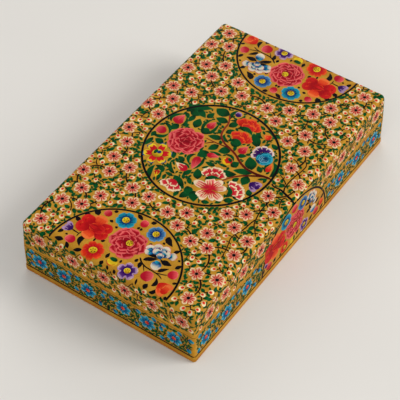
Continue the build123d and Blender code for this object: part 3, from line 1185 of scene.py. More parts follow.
# %% Places in the bouquet
bouquet_leaves = [      # width, then two or three places that the leaf runs through
    (2.3, -6.8, 31.0, -13.7, 31.6), (3.3, -7.4, 24.3, -6.8, 29.8), (1.8, -4.9, 32.9, -3.7, 27.8, 0, 26.2),
    (1.8, 5.0, 32.7, 4.0, 28.2, 0, 26.2), (1.0, 6.2, 32.9, 6.4, 29.8), (3.6, 8.2, 25.4, 2.8, 27.4),
    (1.6, 7.8, 29.9, 11.8, 31.5, 16.9, 26.4), (1.4, 8.0, 24.4, 11.3, 23.2, 16.0, 25.9),
    (2.2, 8.8, 24.1, 11.0, 20.6), (4.4, 18.1, 27.5, 23.4, 24.6, 27.5, 16.6), (3.2, 23.0, 23.2, 19.8, 16.8),
    (3.0, 20.3, 25.4, 25.4, 26.0), (3.2, 19.4, 26.0, 19.4, 20.0), (2.6, 18.5, 22.2, 12.5, 22.7),
    (4.0, 10.8, 17.4, 17.8, 18.7), (2.8, 20.3, 16.2, 25.4, 14.9), (5.4, 28.8, 7.6, 28.2, 11.9, 28.8, 15.9),
    (3.6, 23.5, 5.3, 23.0, 12.4), (4.8, 9.5, 11.7, 14.6, 11.4), (1.5, 10.0, 12.2, 16.0, 14.7, 21.5, 12.3),
    (1.5, 10.3, 10.7, 14.3, 8.2, 21.3, 8.8), (3.2, 12.2, 1.2, 10.0, 8.6), (2.0, 14.7, 3.7, 17.0, 6.7),
    (1.3, 18.7, 5.1, 20.3, 6.7), (3.0, 16.7, 2.2, 20.8, -0.6), (3.2, 21.3, 3.4, 26.9, 0.4),
    (1.7, 25.4, 5.6, 30.3, 6.8, 33.6, 5.3), (1.9, 25.5, 5.3, 28.8, 0.9, 33.5, 1.2),
    (1.7, 11.8, -3.0, 13.0, 0.9, 16.0, 1.8), (5.0, 10.8, -6.3, 16.0, -5.9), (1.5, 8.2, -8.5, 13.0, -6.8),
    (3.9, 23.2, -1.3, 25.3, -5.4, 23.0, -9.5), (4.4, 17.4, -17.0, 24.5, -9.8),
    (2.0, 24.0, -15.9, 25.5, -12.0, 31.0, -12.0), (1.3, 28.8, -13.9, 29.8, -16.9, 26.9, -20.6),
    (1.2, 24.5, -16.9, 24.3, -21.1), (1.5, 19.5, -19.5, 23.3, -20.9), (2.5, 21.4, -26.2, 23.3, -21.6),
    (2.5, 3.5, -27.9, 6.5, -24.1), (2.8, 3.3, -32.9, 9.3, -33.2, 13.0, -28.9),
    (1.7, 4.8, -29.4, 8.8, -27.8, 13.0, -28.4), (5.0, 2.5, -23.0, 9.5, -17.1),
    (3.6, 0.9, -24.5, -2.9, -15.3), (3.9, -4.3, -18.4, -7.0, -13.4, -6.3, -9.1),
    (3.7, -1.5, -13.1, 3.3, -14.9), (4.4, 8.4, -6.6, 3.5, -2.0), (3.3, 7.5, 0.2, 1.8, 3.2),
    (2.3, -5.8, -6.4, -6.0, -0.6), (1.1, -10.5, -1.5, -7.5, -4.0), (1.2, -2.9, -11.9, -3.2, -6.0),
    (1.4, 3.8, -6.1, 4.5, -9.6, 2.0, -12.4), (1.6, 2.2, -5.0, 1.2, 1.7), (3.9, -18.0, -4.1, -11.9, -0.1),
    (4.6, 0.7, 1.7, -5.0, 5.2), (1.6, -4.3, 6.2, -8.3, 8.1, -12.4, 3.9),
    (1.4, -3.8, 1.7, -8.5, 0.3, -13.8, 1.7), (2.7, -11.9, 8.2, -10.3, 12.8),
    (1.8, -21.3, 7.4, -19.5, 11.4, -14.4, 14.1), (1.5, -13.5, 11.4, -13.2, 6.2, -14.5, 3.4),
    (2.5, -19.8, 3.7, -14.3, 1.7), (1.6, -21.8, 1.7, -19.0, 3.9),
    (2.4, -30.8, 15.9, -26.8, 18.9, -21.7, 18.9), (2.5, -21.9, 18.7, -22.0, 14.7, -24.5, 13.2),
    (1.7, -30.3, 12.2, -26.8, 13.1, -23.2, 14.2), (1.5, -20.0, 12.6, -17.2, 14.7),
    (4.2, -28.0, -1.1, -24.5, 3.7, -22.8, 6.7), (2.0, -26.0, 1.2, -27.3, -2.1),
    (1.7, -23.2, 7.2, -23.0, 12.1), (3.5, -33.0, -3.4, -25.5, -6.4), (4.0, -24.8, -2.4, -28.8, -6.9),
    (4.4, -25.5, -6.9, -31.6, -11.0), (2.4, -29.2, -13.9, -27.8, -17.9),
    (3.1, -15.9, -7.5, -12.8, -9.1, -11.3, -13.1), (3.7, -19.2, -22.1, -15.0, -23.6, -11.8, -19.5),
    (3.0, -22.5, -22.5, -19.7, -27.0), (4.1, -2.3, -23.9, -8.9, -24.6), (2.9, -13.0, -31.7, -9.5, -28.8),
    (2.3, -9.8, -19.1, -5.7, -20.8), (1.3, -12.0, -18.0, -10.3, -17.8), (1.4, -1.8, -32.5, 1.9, -32.3),
    (1.2, -1.3, -28.9, 1.7, -33.0), (0.9, 32.3, -2.3, 33.6, -2.5), (1.1, 32.3, -6.5, 33.6, -7.5),
    (0.9, 2.5, 5.5, 3.8, 5.1), (1.0, -25.8, 22.3, -23.2, 22.9), (1.3, 28.5, -22.0, 26.8, -19.0)]
bouquet_stems = [
    (1.5, [(2.5, -34.6), (2.3, -31.4), (1.4, -26.9), (1.3, -22.9), (1.8, -19.4), (3.8, -14.9), (6.8, -10.4),
           (8.8, -5.4), (10.5, -0.9), (13.8, 2.9), (17.8, 4.2), (22.8, 4.7), (26.3, 6.2), (28.6, 7.7)]),
    (0.8, [(8.8, -4.9), (8.3, -0.9), (8.0, 4.2), (8.0, 8.9)]), (0.8, [(7.9, 3.2), (6.3, 5.2), (4.4, 6.7)]),
    (1.2, [(2.5, -31.0), (-1.3, -24.6), (-4.3, -20.4), (-8.3, -16.9), (-12.8, -14.4)]),
    (0.4, [(-0.4, -13.5), (0.5, -12.2), (0.8, -11.6)]), (0.4, [(24.4, -21.0), (25.0, -19.5), (25.8, -19.0)])]
bouquet_places = [      # middles and radii of the flowers, which loose leaves keep clear of
    (0.5, 15.6, 10.2), (-14.8, 22.7, 7.8), (0.3, 30.6, 3.4), (11.5, 27.3, 4.2), (17.2, 11.1, 3.2),
    (-8.0, 3.2, 3.2), (-11.8, 2.6, 2.2), (-0.4, -1.8, 3.2), (11.6, -12.0, 3.4), (-15.6, 7.2, 3.6),
    (-26.4, 15.0, 2.6), (26.1, -17.4, 2.4), (8.6, -29.6, 2.6), (31.3, 3.7, 2.2), (0.8, -9.4, 3.0),
    (18.6, -6.2, 5.0), (28.6, -5.2, 5.6), (-29.4, 4.4, 5.2), (-20.3, -13.1, 8.6), (-9.0, -7.8, 5.0),
    (-11.4, -25.8, 4.6), (-5.4, -29.8, 4.4), (12.0, -24.1, 5.0), (17.0, -20.4, 5.6)]
print("bouquet:", len(bouquet_leaves), "leaves and", len(bouquet_places), "flowers")

# %% Leaves and stems of the bouquet
leaf_spread = 1.16      # painted leaves are this much wider than they were set out


def paint_bouquet_leaves(canvas):
    """Leaves and stems, and small loose leaves wherever there is still room."""
    bed = Field(canvas, lambda x, y, radius: math.hypot(x, y) < roundel[2] - 0.7 - radius)
    for x, y, radius in bouquet_places:
        bed.take(x, y, radius * 0.9)
    for width, *ends in bouquet_leaves:
        leaf(canvas, width * leaf_spread + 0.2, *ends)
        for x, y in spine_at(np.reshape(ends, (-1, 2)), np.linspace(0.2, 0.8, 5)):
            bed.take(x, y, width * 0.5)
    for width, points in bouquet_stems:
        for x, y in spine_at(points, np.linspace(0, 1, 30)):
            bed.take(x, y, width / 2)
            bed.keep(bed.twigs, x, y)
    box = (-34, 34, -34, 34)
    bed.scatter_leaves(80, (3.0, 4.8), box, "dark_leaf", 0.56, twigs=False)
    bed.scatter_leaves(150, (1.5, 2.8), box, "dark_leaf", 0.56, twigs=False)
    for width, points in bouquet_stems:
        stroke(canvas, "stems", "maroon", points, width * 0.90, taper_shape, 3)


middle_canvas = top_canvas.spot(roundel[0], roundel[1])
paint_bouquet_leaves(middle_canvas)
print("leaves painted so far:", coats["leaves"].count)

# %% Flowers of the bouquet
bouquet_buds = [        # foot, point, width and, if not pink, the paints of the petals and the line
    (8.0, 27.8, 15.6, 26.8, 5.8), (14.2, 11.7, 20.3, 10.4, 4.4), (-4.9, 4.1, -14.0, 2.2, 4.6),
    (-1.3, 1.5, 0.6, -4.8, 3.6), (8.6, -11.4, 15.0, -12.7, 4.6),
    (-16.2, 3.7, -14.7, 11.4, 4.4, "white_red"), (-24.0, 15.8, -28.6, 14.3, 3.0, "yellow_red", "yellow"),
    (26.0, -19.3, 26.2, -15.0, 4.0, "orange", "vermilion"),
    (5.4, -29.9, 12.0, -29.2, 2.9, "orange", "vermilion")]
bouquet_fans = [        # middle, turn, size, paint, petals, spread and width of a petal
    (14.6, -6.0, -2, 8.2, "poppy", 5, 92, 0.60), (23.9, -5.7, 2, 8.9, "poppy", 5, 88, 0.58),
    (-24.8, 4.6, 178, 7.8, "white_red", 4, 90, 0.58), (-13.2, -9.8, 24, 8.0, "white_red", 5, 116, 0.52),
    (-16.4, -21.9, -38, 8.4, "white_red", 4, 92, 0.54)]
front_leaves = [        # leaves that lie over the carnations
    (2.7, 22.4, -1.0, 24.9, -5.4, 22.4, -10.4), (4.0, 10.6, -6.3, 14.8, -5.9),
    (2.3, 13.6, -2.8, 15.3, -5.8, 13.4, -9.6), (2.5, -16.3, -7.3, -13.0, -9.4, -11.6, -13.5),
    (2.7, -20.2, -22.3, -16.4, -22.6, -13.4, -19.3), (2.7, -26.4, -1.4, -23.4, 3.4, -22.8, 7.4)]
lily_petals = [         # turn, reach and width
    (92, 9.6, 5.6), (150, 8.0, 4.8), (180, 8.4, 4.4), (222, 7.4, 4.4), (257, 9.6, 5.0), (307, 8.4, 4.8),
    (342, 8.4, 4.8), (32, 8.0, 6.0)]


def star_flower(canvas):
    """Six yellow petals with red hearts and blue tips, round a yellow middle."""
    for turn in (62, 118, 3, 178, 235, 297):
        arm = canvas.spot(0, 0, turn + chance.uniform(-3, 3))
        stroke(arm, "petals", "deep_blue", [(0.6, 0.07), (1.05, 0.07)], 0.44, petal_shape, 3, notch=0.05)
        stroke(arm, "petals", "yellow", [(0.26, 0), (1.0, 0)], 0.55, petal_shape, 4, notch=0.06)
        stroke(arm, "petals", "red", [(0.10, 0), (0.84, 0)], 0.48, petal_shape, 5, notch=0.16)
        for side in (-1, 1):
            vein = [(0.30, 0.10 * side), (0.80, 0.17 * side)]
            stroke(arm, "touches", "crimson", vein, 0.11, leaf_shape, 6)
    stroke(canvas, "petals", "yellow", [(-0.38, 0), (0.38, 0)], 0.76, round_shape, 7)
    stroke(canvas, "touches", "leaf", [(-0.14, 0.16), (0.30, 0.20)], 0.26, round_shape, 8)
    stroke(canvas, "touches", "deep_blue", [(0.04, -0.14), (0.26, 0.04)], 0.30, round_shape, 8)


def lily(canvas):
    """A white and crimson lily with veined petals of different lengths."""
    for turn, reach, width in lily_petals:
        arm = canvas.spot(0, 0, turn + chance.uniform(-5, 5))
        lean = chance.uniform(-0.8, 0.8)
        stroke(arm, "petals", "white_pink", [(0.4, 0), (reach * 0.55, lean), (reach, -lean)], width * 0.84,
               petal_shape, 5, notch=chance.uniform(-0.4, 0.7))
        for side, far in ((-1, 0.82), (1, 0.72), (0, 0.60)):
            vein = [(1.0, 0.2 * side), (reach * 0.45, 0.22 * width * side + 0.3 * lean),
                    (reach * far, 0.15 * width * side)]
            stroke(arm, "touches", "crimson", vein, 0.50, leaf_shape, 6)
        stroke(arm, "touches", "crimson", [(-0.6, 0), (1.9, 0)], 0.7, leaf_shape, 6)
        for side in (-1, 1):
            light = [(reach * 0.34, 0.14 * width * side), (reach * 0.84, 0.10 * width * side)]
            stroke(arm, "touches", "cream", light, 0.42, leaf_shape, 7)


def blue_cup(canvas):
    """A turquoise cup with pale curls, in front of a violet ruff."""
    stroke(canvas, "petals", "sky_blue", [(0.2, 1.0), (0, -1.05)], 1.95, round_shape, 4)
    petal_ring(canvas, "sky_blue", 4, 0.05, 0.98, 0.9, 5, start=200, sweep=250, notch=0.05)
    for radius in (0.25, 0.45, 0.66):
        arc = np.radians(np.linspace(-40, 200, 9) + radius * 120)
        curl = np.stack([0.1 + radius * np.cos(arc), radius * np.sin(arc) * 0.9], 1)
        stroke(canvas, "touches", "pale_blue", curl, 0.08, leaf_shape, 7)


def paint_bouquet(canvas):
    """All flowers of the rooted bouquet, and the circle round it."""
    rose(canvas.spot(0.5, 15.6, 15, 9.7))
    star_flower(canvas.spot(-14.8, 22.7, 0, 7.5))
    round_bud(canvas, 0.3, 30.6, 2.9)
    for bud in bouquet_buds:
        closed_bud(canvas, *bud)
    round_bud(canvas, 31.3, 3.7, 1.9, "purple", 0)
    round_bud(canvas, 0.8, -9.4, 2.7, "yellow_red", 150)
    stroke(canvas, "petals", "dark_leaf", [(1.2, -11.6), (2.6, -9.0)], 1.7, round_shape, 6)
    for x, y, turn, size, *fan in bouquet_fans:
        fan_flower(canvas.spot(x, y, turn, size), *fan)
    for width, *ends in front_leaves:
        stroke(canvas, "petals", "dark_leaf", np.reshape(ends, (-1, 2)), width, leaf_shape, 7)
    lily(canvas.spot(-20.3, -13.1))
    tulip(canvas.spot(-5.4, -26.9, -100, 6.6), "purple")
    stroke(canvas, "petals", "purple", [(-7.6, -31.6), (-2.6, -32.0)], 2.6, round_shape, 6)
    petal_ring(canvas.spot(14.6, -21.8, 0, 6.3), "white_violet", 6, 0.2, 1.0, 0.56, 3, -55, 190, 0.06)
    blue_cup(canvas.spot(12.0, -24.1, 10, 4.4))
    circle_line(canvas, roundel[2], 1.2)


paint_bouquet(middle_canvas)
print("strokes after the middle roundel:", sum(coat.count for coat in coats.values()))

# %% [markdown]
# ## The half roundels at the ends
# Loose flowers and black leaves on bare gold. The right one is the left one turned half round, which
# is how a pattern book is used, and drawn a little narrower.

# %% Places in the half roundels
garland_leaves = [      # width, then two or three places that the leaf runs through
    (2.2, -0.4, 27.4, -1.4, 32.0), (1.9, 5.0, 31.3, 1.8, 32.6), (1.2, 2.8, 28.3, 4.0, 28.3),
    (1.7, -3.1, 22.8, -0.6, 25.5), (1.3, 10.9, 25.8, 8.6, 26.8), (2.2, 14.8, 31.0, 13.2, 27.6),
    (2.3, 19.0, 29.0, 19.0, 25.1), (3.0, 24.2, 25.5, 21.5, 22.6), (2.4, 7.3, 19.2, 4.2, 20.7, 0.7, 18.6),
    (1.9, -0.4, 16.1, -2.7, 19.9), (1.6, 27.8, 17.8, 29.0, 15.9), (1.9, 21.3, 15.3, 23.0, 15.1),
    (0.9, 6.8, 14.9, 9.4, 15.0), (1.4, 8.9, 11.9, 10.6, 10.3), (1.4, 19.6, 11.2, 20.9, 10.5),
    (1.8, -2.7, 4.0, 0, 3.6), (1.6, 1.9, 3.8, 5.5, 3.8), (1.0, -3.1, -1.0, -1.2, 0.6),
    (1.0, 3.2, -3.6, 5.3, -3.5), (1.3, -3.3, -5.1, -1.4, -3.6), (2.0, 33.0, 7.0, 31.1, 3.0),
    (1.9, 31.9, -1.4, 33.6, -3.9), (1.6, 7.8, -9.1, 10.3, -9.5), (1.3, 19.8, -8.7, 21.7, -9.5),
    (1.9, 9.4, -11.6, 5.5, -12.8), (2.1, 11.1, -11.6, 14.8, -15.3), (0.9, -3.1, -17.1, 0.3, -16.1),
    (1.4, 24.3, -13.8, 25.5, -14.4), (3.0, 29.8, -14.3, 27.5, -14.9, 25.5, -18.7),
    (2.7, 15.3, -19.1, 15.5, -24.9), (1.9, 9.0, -21.6, 10.9, -22.8, 13.4, -25.3),
    (2.2, -2.9, -21.6, 0.5, -22.0), (1.8, 0.5, -23.9, 2.8, -24.9, 5.7, -23.3),
    (1.7, -2.9, -24.7, -1.8, -27.0, 0.7, -27.0), (1.8, 22.5, -21.2, 25.5, -23.3),
    (1.9, 15.0, -27.4, 18.4, -29.1), (1.3, 19.5, -26.1, 20.7, -26.6), (1.2, 6.9, -31.4, 8.6, -33.4),
    (0.9, -3.0, -31.3, -2.2, -31.6), (1.4, -2.9, -33.5, -0.8, -33.5), (1.2, 25.0, 2.0, 26.8, 1.4),
    (1.2, 25.0, 0.0, 26.8, 0.4)]
garland_stems = [
    (0.8, [(11.5, -9.5), (9.4, -12.0), (8.2, -15.3), (8.0, -19.5), (7.5, -23.3), (6.3, -25.8)]),
    (0.6, [(8.0, -21.2), (9.0, -24.9), (10.0, -26.6)]), (0.5, [(9.0, -13.3), (7.2, -14.8), (5.4, -16.2)]),
    (0.8, [(7.3, 28.0), (7.0, 25.5), (7.0, 23.6)]), (0.6, [(4.6, 23.4), (7.0, 23.5), (8.6, 22.8)]),
    (0.5, [(14.4, 32.2), (14.7, 30.8)]), (0.5, [(19.0, 28.9), (19.1, 27.5)]),
    (0.5, [(33.7, 8.0), (33.0, 6.8)])]
print("half roundel:", len(garland_leaves), "leaves and", len(garland_stems), "stems")

# %% Iris and peony
iris_lobes = [          # middle, radius, paint and level
    (-4.4, 0.3, 3.8, "orange", 3), (4.5, 0.4, 3.9, "orange", 3), (0, -2.5, 3.0, "red", 4),
    (0, 3.0, 3.4, "red", 4), (-2.0, -5.2, 3.4, "red", 4), (2.2, -5.0, 3.4, "red", 4),
    (-2.2, 5.7, 3.7, "red", 5), (2.3, 5.8, 3.5, "red", 5)]
peony_cups = [          # middle, turn, length and width
    (0.6, 5.6, 90, 4.8, 4.6), (2.6, 6.4, 40, 4.2, 4.4), (5.0, 3.4, 25, 4.6, 4.6), (5.8, -0.6, -5, 4.4, 4.6),
    (4.0, -5.2, -65, 5.0, 4.6), (2.8, 2.2, 60, 4.8, 5.0), (3.4, -1.8, -25, 5.2, 5.4),
    (1.0, -0.4, 30, 3.6, 3.6)]


def lobed_cluster(canvas):
    """Soft red and orange lobes, as of an iris, drawn round its waist."""
    for x, y, radius, paint_name, level in iris_lobes:
        turn = math.degrees(math.atan2(y, x)) + chance.uniform(-8, 8)
        lobe = canvas.spot(x, y, turn, radius)
        stroke(lobe, "petals", paint_name, [(-1, 0), (1, 0)], 2.0, round_shape, level)
    stroke(canvas, "petals", "red", [(0.2, -4.0), (-0.2, 0.0), (0.2, 4.0)], 1.9, leaf_shape, 6)
    for side in (-1, 1):
        fold = [(side * 0.6, -2.6), (side * 2.3, 0.2), (side * 0.8, 2.8)]
        stroke(canvas, "petals", "poppy", fold, 0.9, leaf_shape, 6)
    for x, y in ((-1.6, 7.0), (2.2, 6.6), (-1.4, -6.0), (2.0, -5.8)):
        ruffle = [(x - 1.4, y - 0.6), (x, y + 0.5), (x + 1.4, y - 0.4)]
        stroke(canvas, "petals", "poppy", ruffle, 1.0, leaf_shape, 6)


def blue_peony(canvas):
    """A white peony seen from the side: every cup is blue at its own root and edged with pink."""
    for number, (x, y, turn, length, width) in enumerate(peony_cups):
        arm = canvas.spot(x, y, turn)
        level = 4 + number // 3
        spine = [(-length * 0.5, 0), (length * 0.5, 0)]
        stroke(arm, "petals", "white_blue", spine, width, petal_shape, level, notch=0.12)
        edge = [(length * 0.12, -width * 0.50), (length * 0.52, 0), (length * 0.12, width * 0.50)]
        stroke(arm, "touches", "pale_pink", edge, 0.34, leaf_shape, level + 1)
        root = [(-length * 0.30, -width * 0.30), (-length * 0.04, 0), (-length * 0.30, width * 0.30)]
        stroke(arm, "touches", "sky_blue", root, length * 0.26, leaf_shape, level + 1)
    for radius in (0.8, 1.5):
        arc = np.radians(np.linspace(0, 260, 9) + radius * 60)
        curl = np.stack([1.2 + radius * np.cos(arc), -0.2 + radius * np.sin(arc) * 0.8], 1)
        stroke(canvas, "touches", "deep_blue", curl, 0.34, leaf_shape, 9)
    for spine in ([(-1.0, 6.4), (-0.2, 2.0), (0.6, -0.6)], [(-4.4, 3.0), (-2.4, 1.6), (-0.6, -0.6)],
                  [(-0.2, -8.0), (-1.2, -4.6), (-0.2, -1.4)]):
        stroke(canvas, "leaves", "ink", spine, 1.9, leaf_shape, 3)


print("an iris has", len(iris_lobes), "lobes and a peony", len(peony_cups), "cups")

# %% Painting the half roundels
def paint_garland(canvas):
    """Half of a roundel, cut by the end of the lid."""
    for width, *ends in garland_leaves:
        leaf(canvas, width * 1.12 + 0.1, *ends, paint_name="ink")
    for width, points in garland_stems:
        stroke(canvas, "stems", "ink", points, width, taper_shape, 2)
    rose(canvas.spot(15.2, 0.4, 80, 9.6), 10, has_eye=True)
    lobed_cluster(canvas.spot(14.2, 19.3))
    tulip(canvas.spot(7.3, 27.6, 85, 5.6), "purple")
    round_bud(canvas, 2.2, 24.9, 2.7)
    round_bud(canvas, 25.4, 19.3, 2.2, turn=70)
    open_flower(canvas.spot(2.3, 11.5, 10, 6.0), "poppy", 7, 0.34, "crimson")
    open_flower(canvas.spot(26.5, 9.7, 0, 5.5), "sky_blue", 6, 0.35, "deep_blue")
    open_flower(canvas.spot(27.4, -7.6, 30, 5.1), "mid_blue", 6, 0.35, "deep_blue")
    round_bud(canvas, 29.6, 0.6, 2.4, turn=0)
    round_bud(canvas, 2.1, -0.1, 2.7, "yellow", 180)
    stroke(canvas, "petals", "dark_leaf", [(3.3, -2.2), (3.3, 2.0)], 2.5, round_shape, 6)
    stroke(canvas, "touches", "vermilion", [(1.2, -2.7), (-0.6, -0.1), (1.2, 2.5)], 0.4, leaf_shape, 7)
    pansy(canvas.spot(1.3, -9.5, 0, 5.3))
    round_bud(canvas, 3.6, -19.1, 3.2, turn=-60)
    tulip(canvas.spot(3.8, -26.0, -112, 7.8), "orange")
    stroke(canvas, "petals", "orange", [(-0.8, -30.6), (5.4, -31.4)], 4.0, round_shape, 6)
    round_bud(canvas, 11.1, -28.9, 2.7, turn=-50)
    blue_peony(canvas.spot(16.2, -16.8))
    round_bud(canvas, 11.6, -18.5, 2.8, "white_blue", 180)
    stroke(canvas, "petals", "sky_blue", [(13.4, -20.4), (13.6, -16.8)], 1.7, round_shape, 6)


far_middle = 86.6       # middle of the right half roundel
far_squeeze = 0.96      # how much narrower it is
end_margin = 0.7        # bare strip beside the end of the lid

for middle, squeeze in ((end_roundel[0], 1.0), (far_middle, far_squeeze)):
    way = -math.copysign(1, middle)
    end = Canvas("top", ((way * squeeze, 0), (0, way)), (middle, way * end_roundel[1]))
    paint_garland(end)
    edge = (half_length - end_margin - abs(middle)) / squeeze
    reach = math.degrees(math.acos(-edge / end_roundel[2]))
    circle_line(end, end_roundel[2], 1.0, -reach, 2 * reach, parts=2)
print("strokes after the half roundels:", sum(coat.count for coat in coats.values()))

# %% [markdown]
# ## The sides
# The lid carries a row of the same blossoms with cream buds. The base has blue flowers with orange
# eyes on a vine. Opposite sides share one drawing. The front and back have a half medallion that
# stands on the foot band and runs across the seam, and it is cut there with the lid.

# %% Places on the sides
band_low = seam + 1.35
band_high = height - edge_round + lid_bend
vine_low = foot_top + 1.1
vine_high = seam - 0.45
medallion = (0.0, foot_top + 0.3, 30.0)

side_designs = {
    "short": dict(
        blossoms=[(-39.9, 29.4), (-19.8, 27.8), (-1.3, 28.4), (11.4, 27.6), (27, 28), (44.4, 27.6)],
        buds=[(-46.2, 33.4), (-48.4, 31.7), (-44.8, 23.9), (-32.6, 23.9), (-27.8, 23.7), (-28.9, 30.9),
              (-26.4, 34.2), (-14.5, 33.7), (-8.1, 33.4), (-12.8, 26.4), (-13.1, 22.6), (-7.9, 25.3),
              (5.8, 33.4), (4.8, 23.1), (18.6, 32), (19.7, 23.9), (22.7, 34.2), (31.9, 32.3),
              (38.8, 32.6), (33, 23.7), (38.7, 23.7), (49.4, 24.2)],
        blues=[(-41.4, 12.3), (-26.3, 11.6), (-11.6, 11.2), (9.6, 12.4), (23.9, 11.7), (39.7, 11.2)],
        drops=[(-45.9, 17.1), (-48.1, 12.8), (-32, 16.4), (-46.4, 7.3), (-34.8, 7.3), (-22.3, 16.9),
               (-18, 16.3), (-18.8, 7.1), (-1.4, 16.9), (-2.4, 13.1), (2.9, 15.3), (-4.3, 6.3),
               (4.8, 6.4), (17.7, 6.3), (18.8, 16.8), (28.1, 16.9), (33.4, 16.6), (32.2, 13.2),
               (32.7, 6.4), (43.1, 16.9), (48.3, 7.6), (49.5, 15.9)]),
    "long": dict(
        blossoms=[(-76.3, 26.6), (-63.3, 27), (-47.6, 27.4), (-32.3, 28.6), (31.4, 28.6), (44.3, 27.5),
                  (62, 28), (78.8, 28)],
        buds=[(-85.3, 30.3), (-84, 22.7), (-72.8, 32.8), (-70, 22.4), (-56.8, 31.6), (-52.5, 33.4),
              (-55.5, 22.8), (-40, 23.4), (-38.4, 32.8), (-22.3, 34.0), (21.8, 34.0), (36.5, 33.6),
              (38.6, 30.8), (37.6, 23.0), (52.8, 32.8), (57.2, 33.6), (51.8, 22.9), (56.3, 23.5),
              (71.5, 32.8), (68.3, 23), (72.8, 23.4), (85, 32.8), (85.4, 26.5)],
        blues=[(-79.5, 10.8), (-62, 10.8), (-43.8, 11.8), (43.8, 11.2), (61.1, 12), (79, 11)],
        drops=[(-84.5, 16.9), (-85.4, 6.4), (-73.5, 16.5), (-69.3, 16.4), (-70.4, 6.4), (-56, 16.4),
               (-51.3, 16.3), (-52.0, 7.2), (-37, 16.9), (-33, 13.6), (-36.8, 6.5), (32.6, 16.3),
               (37.3, 15.5), (33.8, 9), (37.5, 6.6), (51, 16.6), (54.5, 14.8), (53.6, 6.8), (68, 17),
               (72, 16.3), (68.6, 6.6), (85, 16.8), (86, 7.5)]),
}
print("buds in the band of a side:", {name: len(design["buds"]) for name, design in side_designs.items()})

# %% Painting a side
joined_gap = 30.0       # blossoms farther apart than this have no stem between them
medallion_gap = 0.6     # bare strip round a medallion
trunk = [(0.5, vine_low - 0.6), (0.4, 8.2)]     # where the vine of a short side leaves its foot


def corner_run(side):
    """From the middle of a side to the middle of its corner rounding, along the side."""
    return side_halves(side)[0] - corner_round + corner_round * quarter / 2


def paint_side(side, design):
    """One side of the box, lid and base together."""
    canvas = Canvas(side)
    corner_reach = corner_run(side)
    has_medallion = side in ("front", "back")

    def clear(x, y, radius):
        """True if a disc keeps off the medallion."""
        if not has_medallion:
            return True
        return math.hypot(x - medallion[0], y - medallion[1]) > medallion[2] + medallion_gap + radius

    def in_band(x, y, radius):
        """True if a disc lies in the flower band of the lid."""
        if abs(x) >= corner_reach - 0.3 * radius:
            return False
        return band_low + radius < y < band_high and clear(x, y, radius)

    def in_vine(x, y, radius):
        """True if a disc lies in the vine of the base."""
        if abs(x) >= corner_reach - 0.5 - radius:
            return False
        return vine_low + radius < y < vine_high - radius and clear(x, y, radius)

    band = Field(canvas, in_band)
    for x, y in design["blossoms"]:
        band.take(x, y, 4.1)
    for (a, b), (c, d) in zip(design["blossoms"], design["blossoms"][1:]):
        if abs(c - a) < joined_gap:
            bow = chance.uniform(-2.2, 2.2)
            band.draw_stem([(a, b), ((a + c) / 2, (b + d) / 2 + bow), (c, d)], 0.5)
    for x, y in design["blossoms"]:
        band.draw_stem([(x, y), (x + 2.5, (y + band_high) / 2 + 1), (x + 4.5, band_high)], 0.5)
        blossom(canvas, x, y, 4.3)
    for x, y in design["buds"]:
        band.add_bud(x, y, 2.9)
    band_box = (-corner_reach, corner_reach, band_low, band_high)
    bud_goal, leaf_goal = (8, 110) if has_medallion else (4, 80)
    band.scatter_buds(bud_goal, 2.5, band_box)
    leaves = band.scatter_leaves(leaf_goal, (2.3, 3.3), band_box)
    leaves += band.scatter_leaves(leaf_goal, (1.4, 2.2), band_box)

    vine = Field(canvas, in_vine)
    for x, y in design["blues"]:
        vine.take(x, y, 4.4)
    if not has_medallion:
        stroke(canvas, "stems", "ink", trunk, 1.5, taper_shape, 1)
    for (a, b), (c, d) in zip(design["blues"], design["blues"][1:]):
        if abs(c - a) < joined_gap:
            vine.draw_stem([(a, b), ((a + c) / 2, (b + d) / 2 - chance.uniform(1, 3)), (c, d)], 0.5)
    for x, y in design["blues"]:
        vine.draw_stem([(x, y), (x + 4.4, y + 2.6), (x + 7.6, y + 6.0)], 0.42)
        vine.draw_stem([(x, y), (x - 4.4, y - 3.0), (x - 6.6, y - 5.4)], 0.42)
        blossom(canvas, x, y, 4.75, is_blue=True)
    for x, y in design["drops"]:
        vine.add_bud(x, y, 3.1, is_blue=True)
    vine_box = (-corner_reach, corner_reach, vine_low, vine_high)
    leaves += vine.scatter_leaves(110, (2.0, 3.0), vine_box)
    leaves += vine.scatter_leaves(130, (1.3, 1.9), vine_box)
    return leaves


print("a side is painted from corner to corner, over", [round(2 * corner_run(side), 1) for side in SIDE_AXES])


# %% Painting the medallions and the sides
medallion_leaves = [    # width and the two ends of a leaf
    (2.4, -24.2, 20.4, -21.4, 23.6), (2.0, -19.6, 23.0, -17.4, 26.6), (1.8, -28.4, 8.8, -27.4, 12.2),
    (2.2, -19.4, 2.0, -17.8, 4.6), (1.8, -11.0, 8.0, -8.4, 9.4), (2.0, 1.6, 3.2, 3.6, 6.0),
    (2.4, 10.8, 11.4, 14.6, 11.6), (2.2, 19.4, 11.0, 22.6, 13.0), (2.2, 14.2, 2.4, 17.2, 4.6),
    (2.0, 24.6, 1.2, 27.6, 3.4), (2.0, 25.0, 9.0, 27.2, 11.6), (1.6, -29.4, 2.2, -27.6, 5.0),
    (2.0, -14.0, 1.2, -11.4, 3.0), (1.8, 21.4, 6.6, 23.8, 8.6), (1.6, -4.6, 8.2, -3.2, 6.4)]


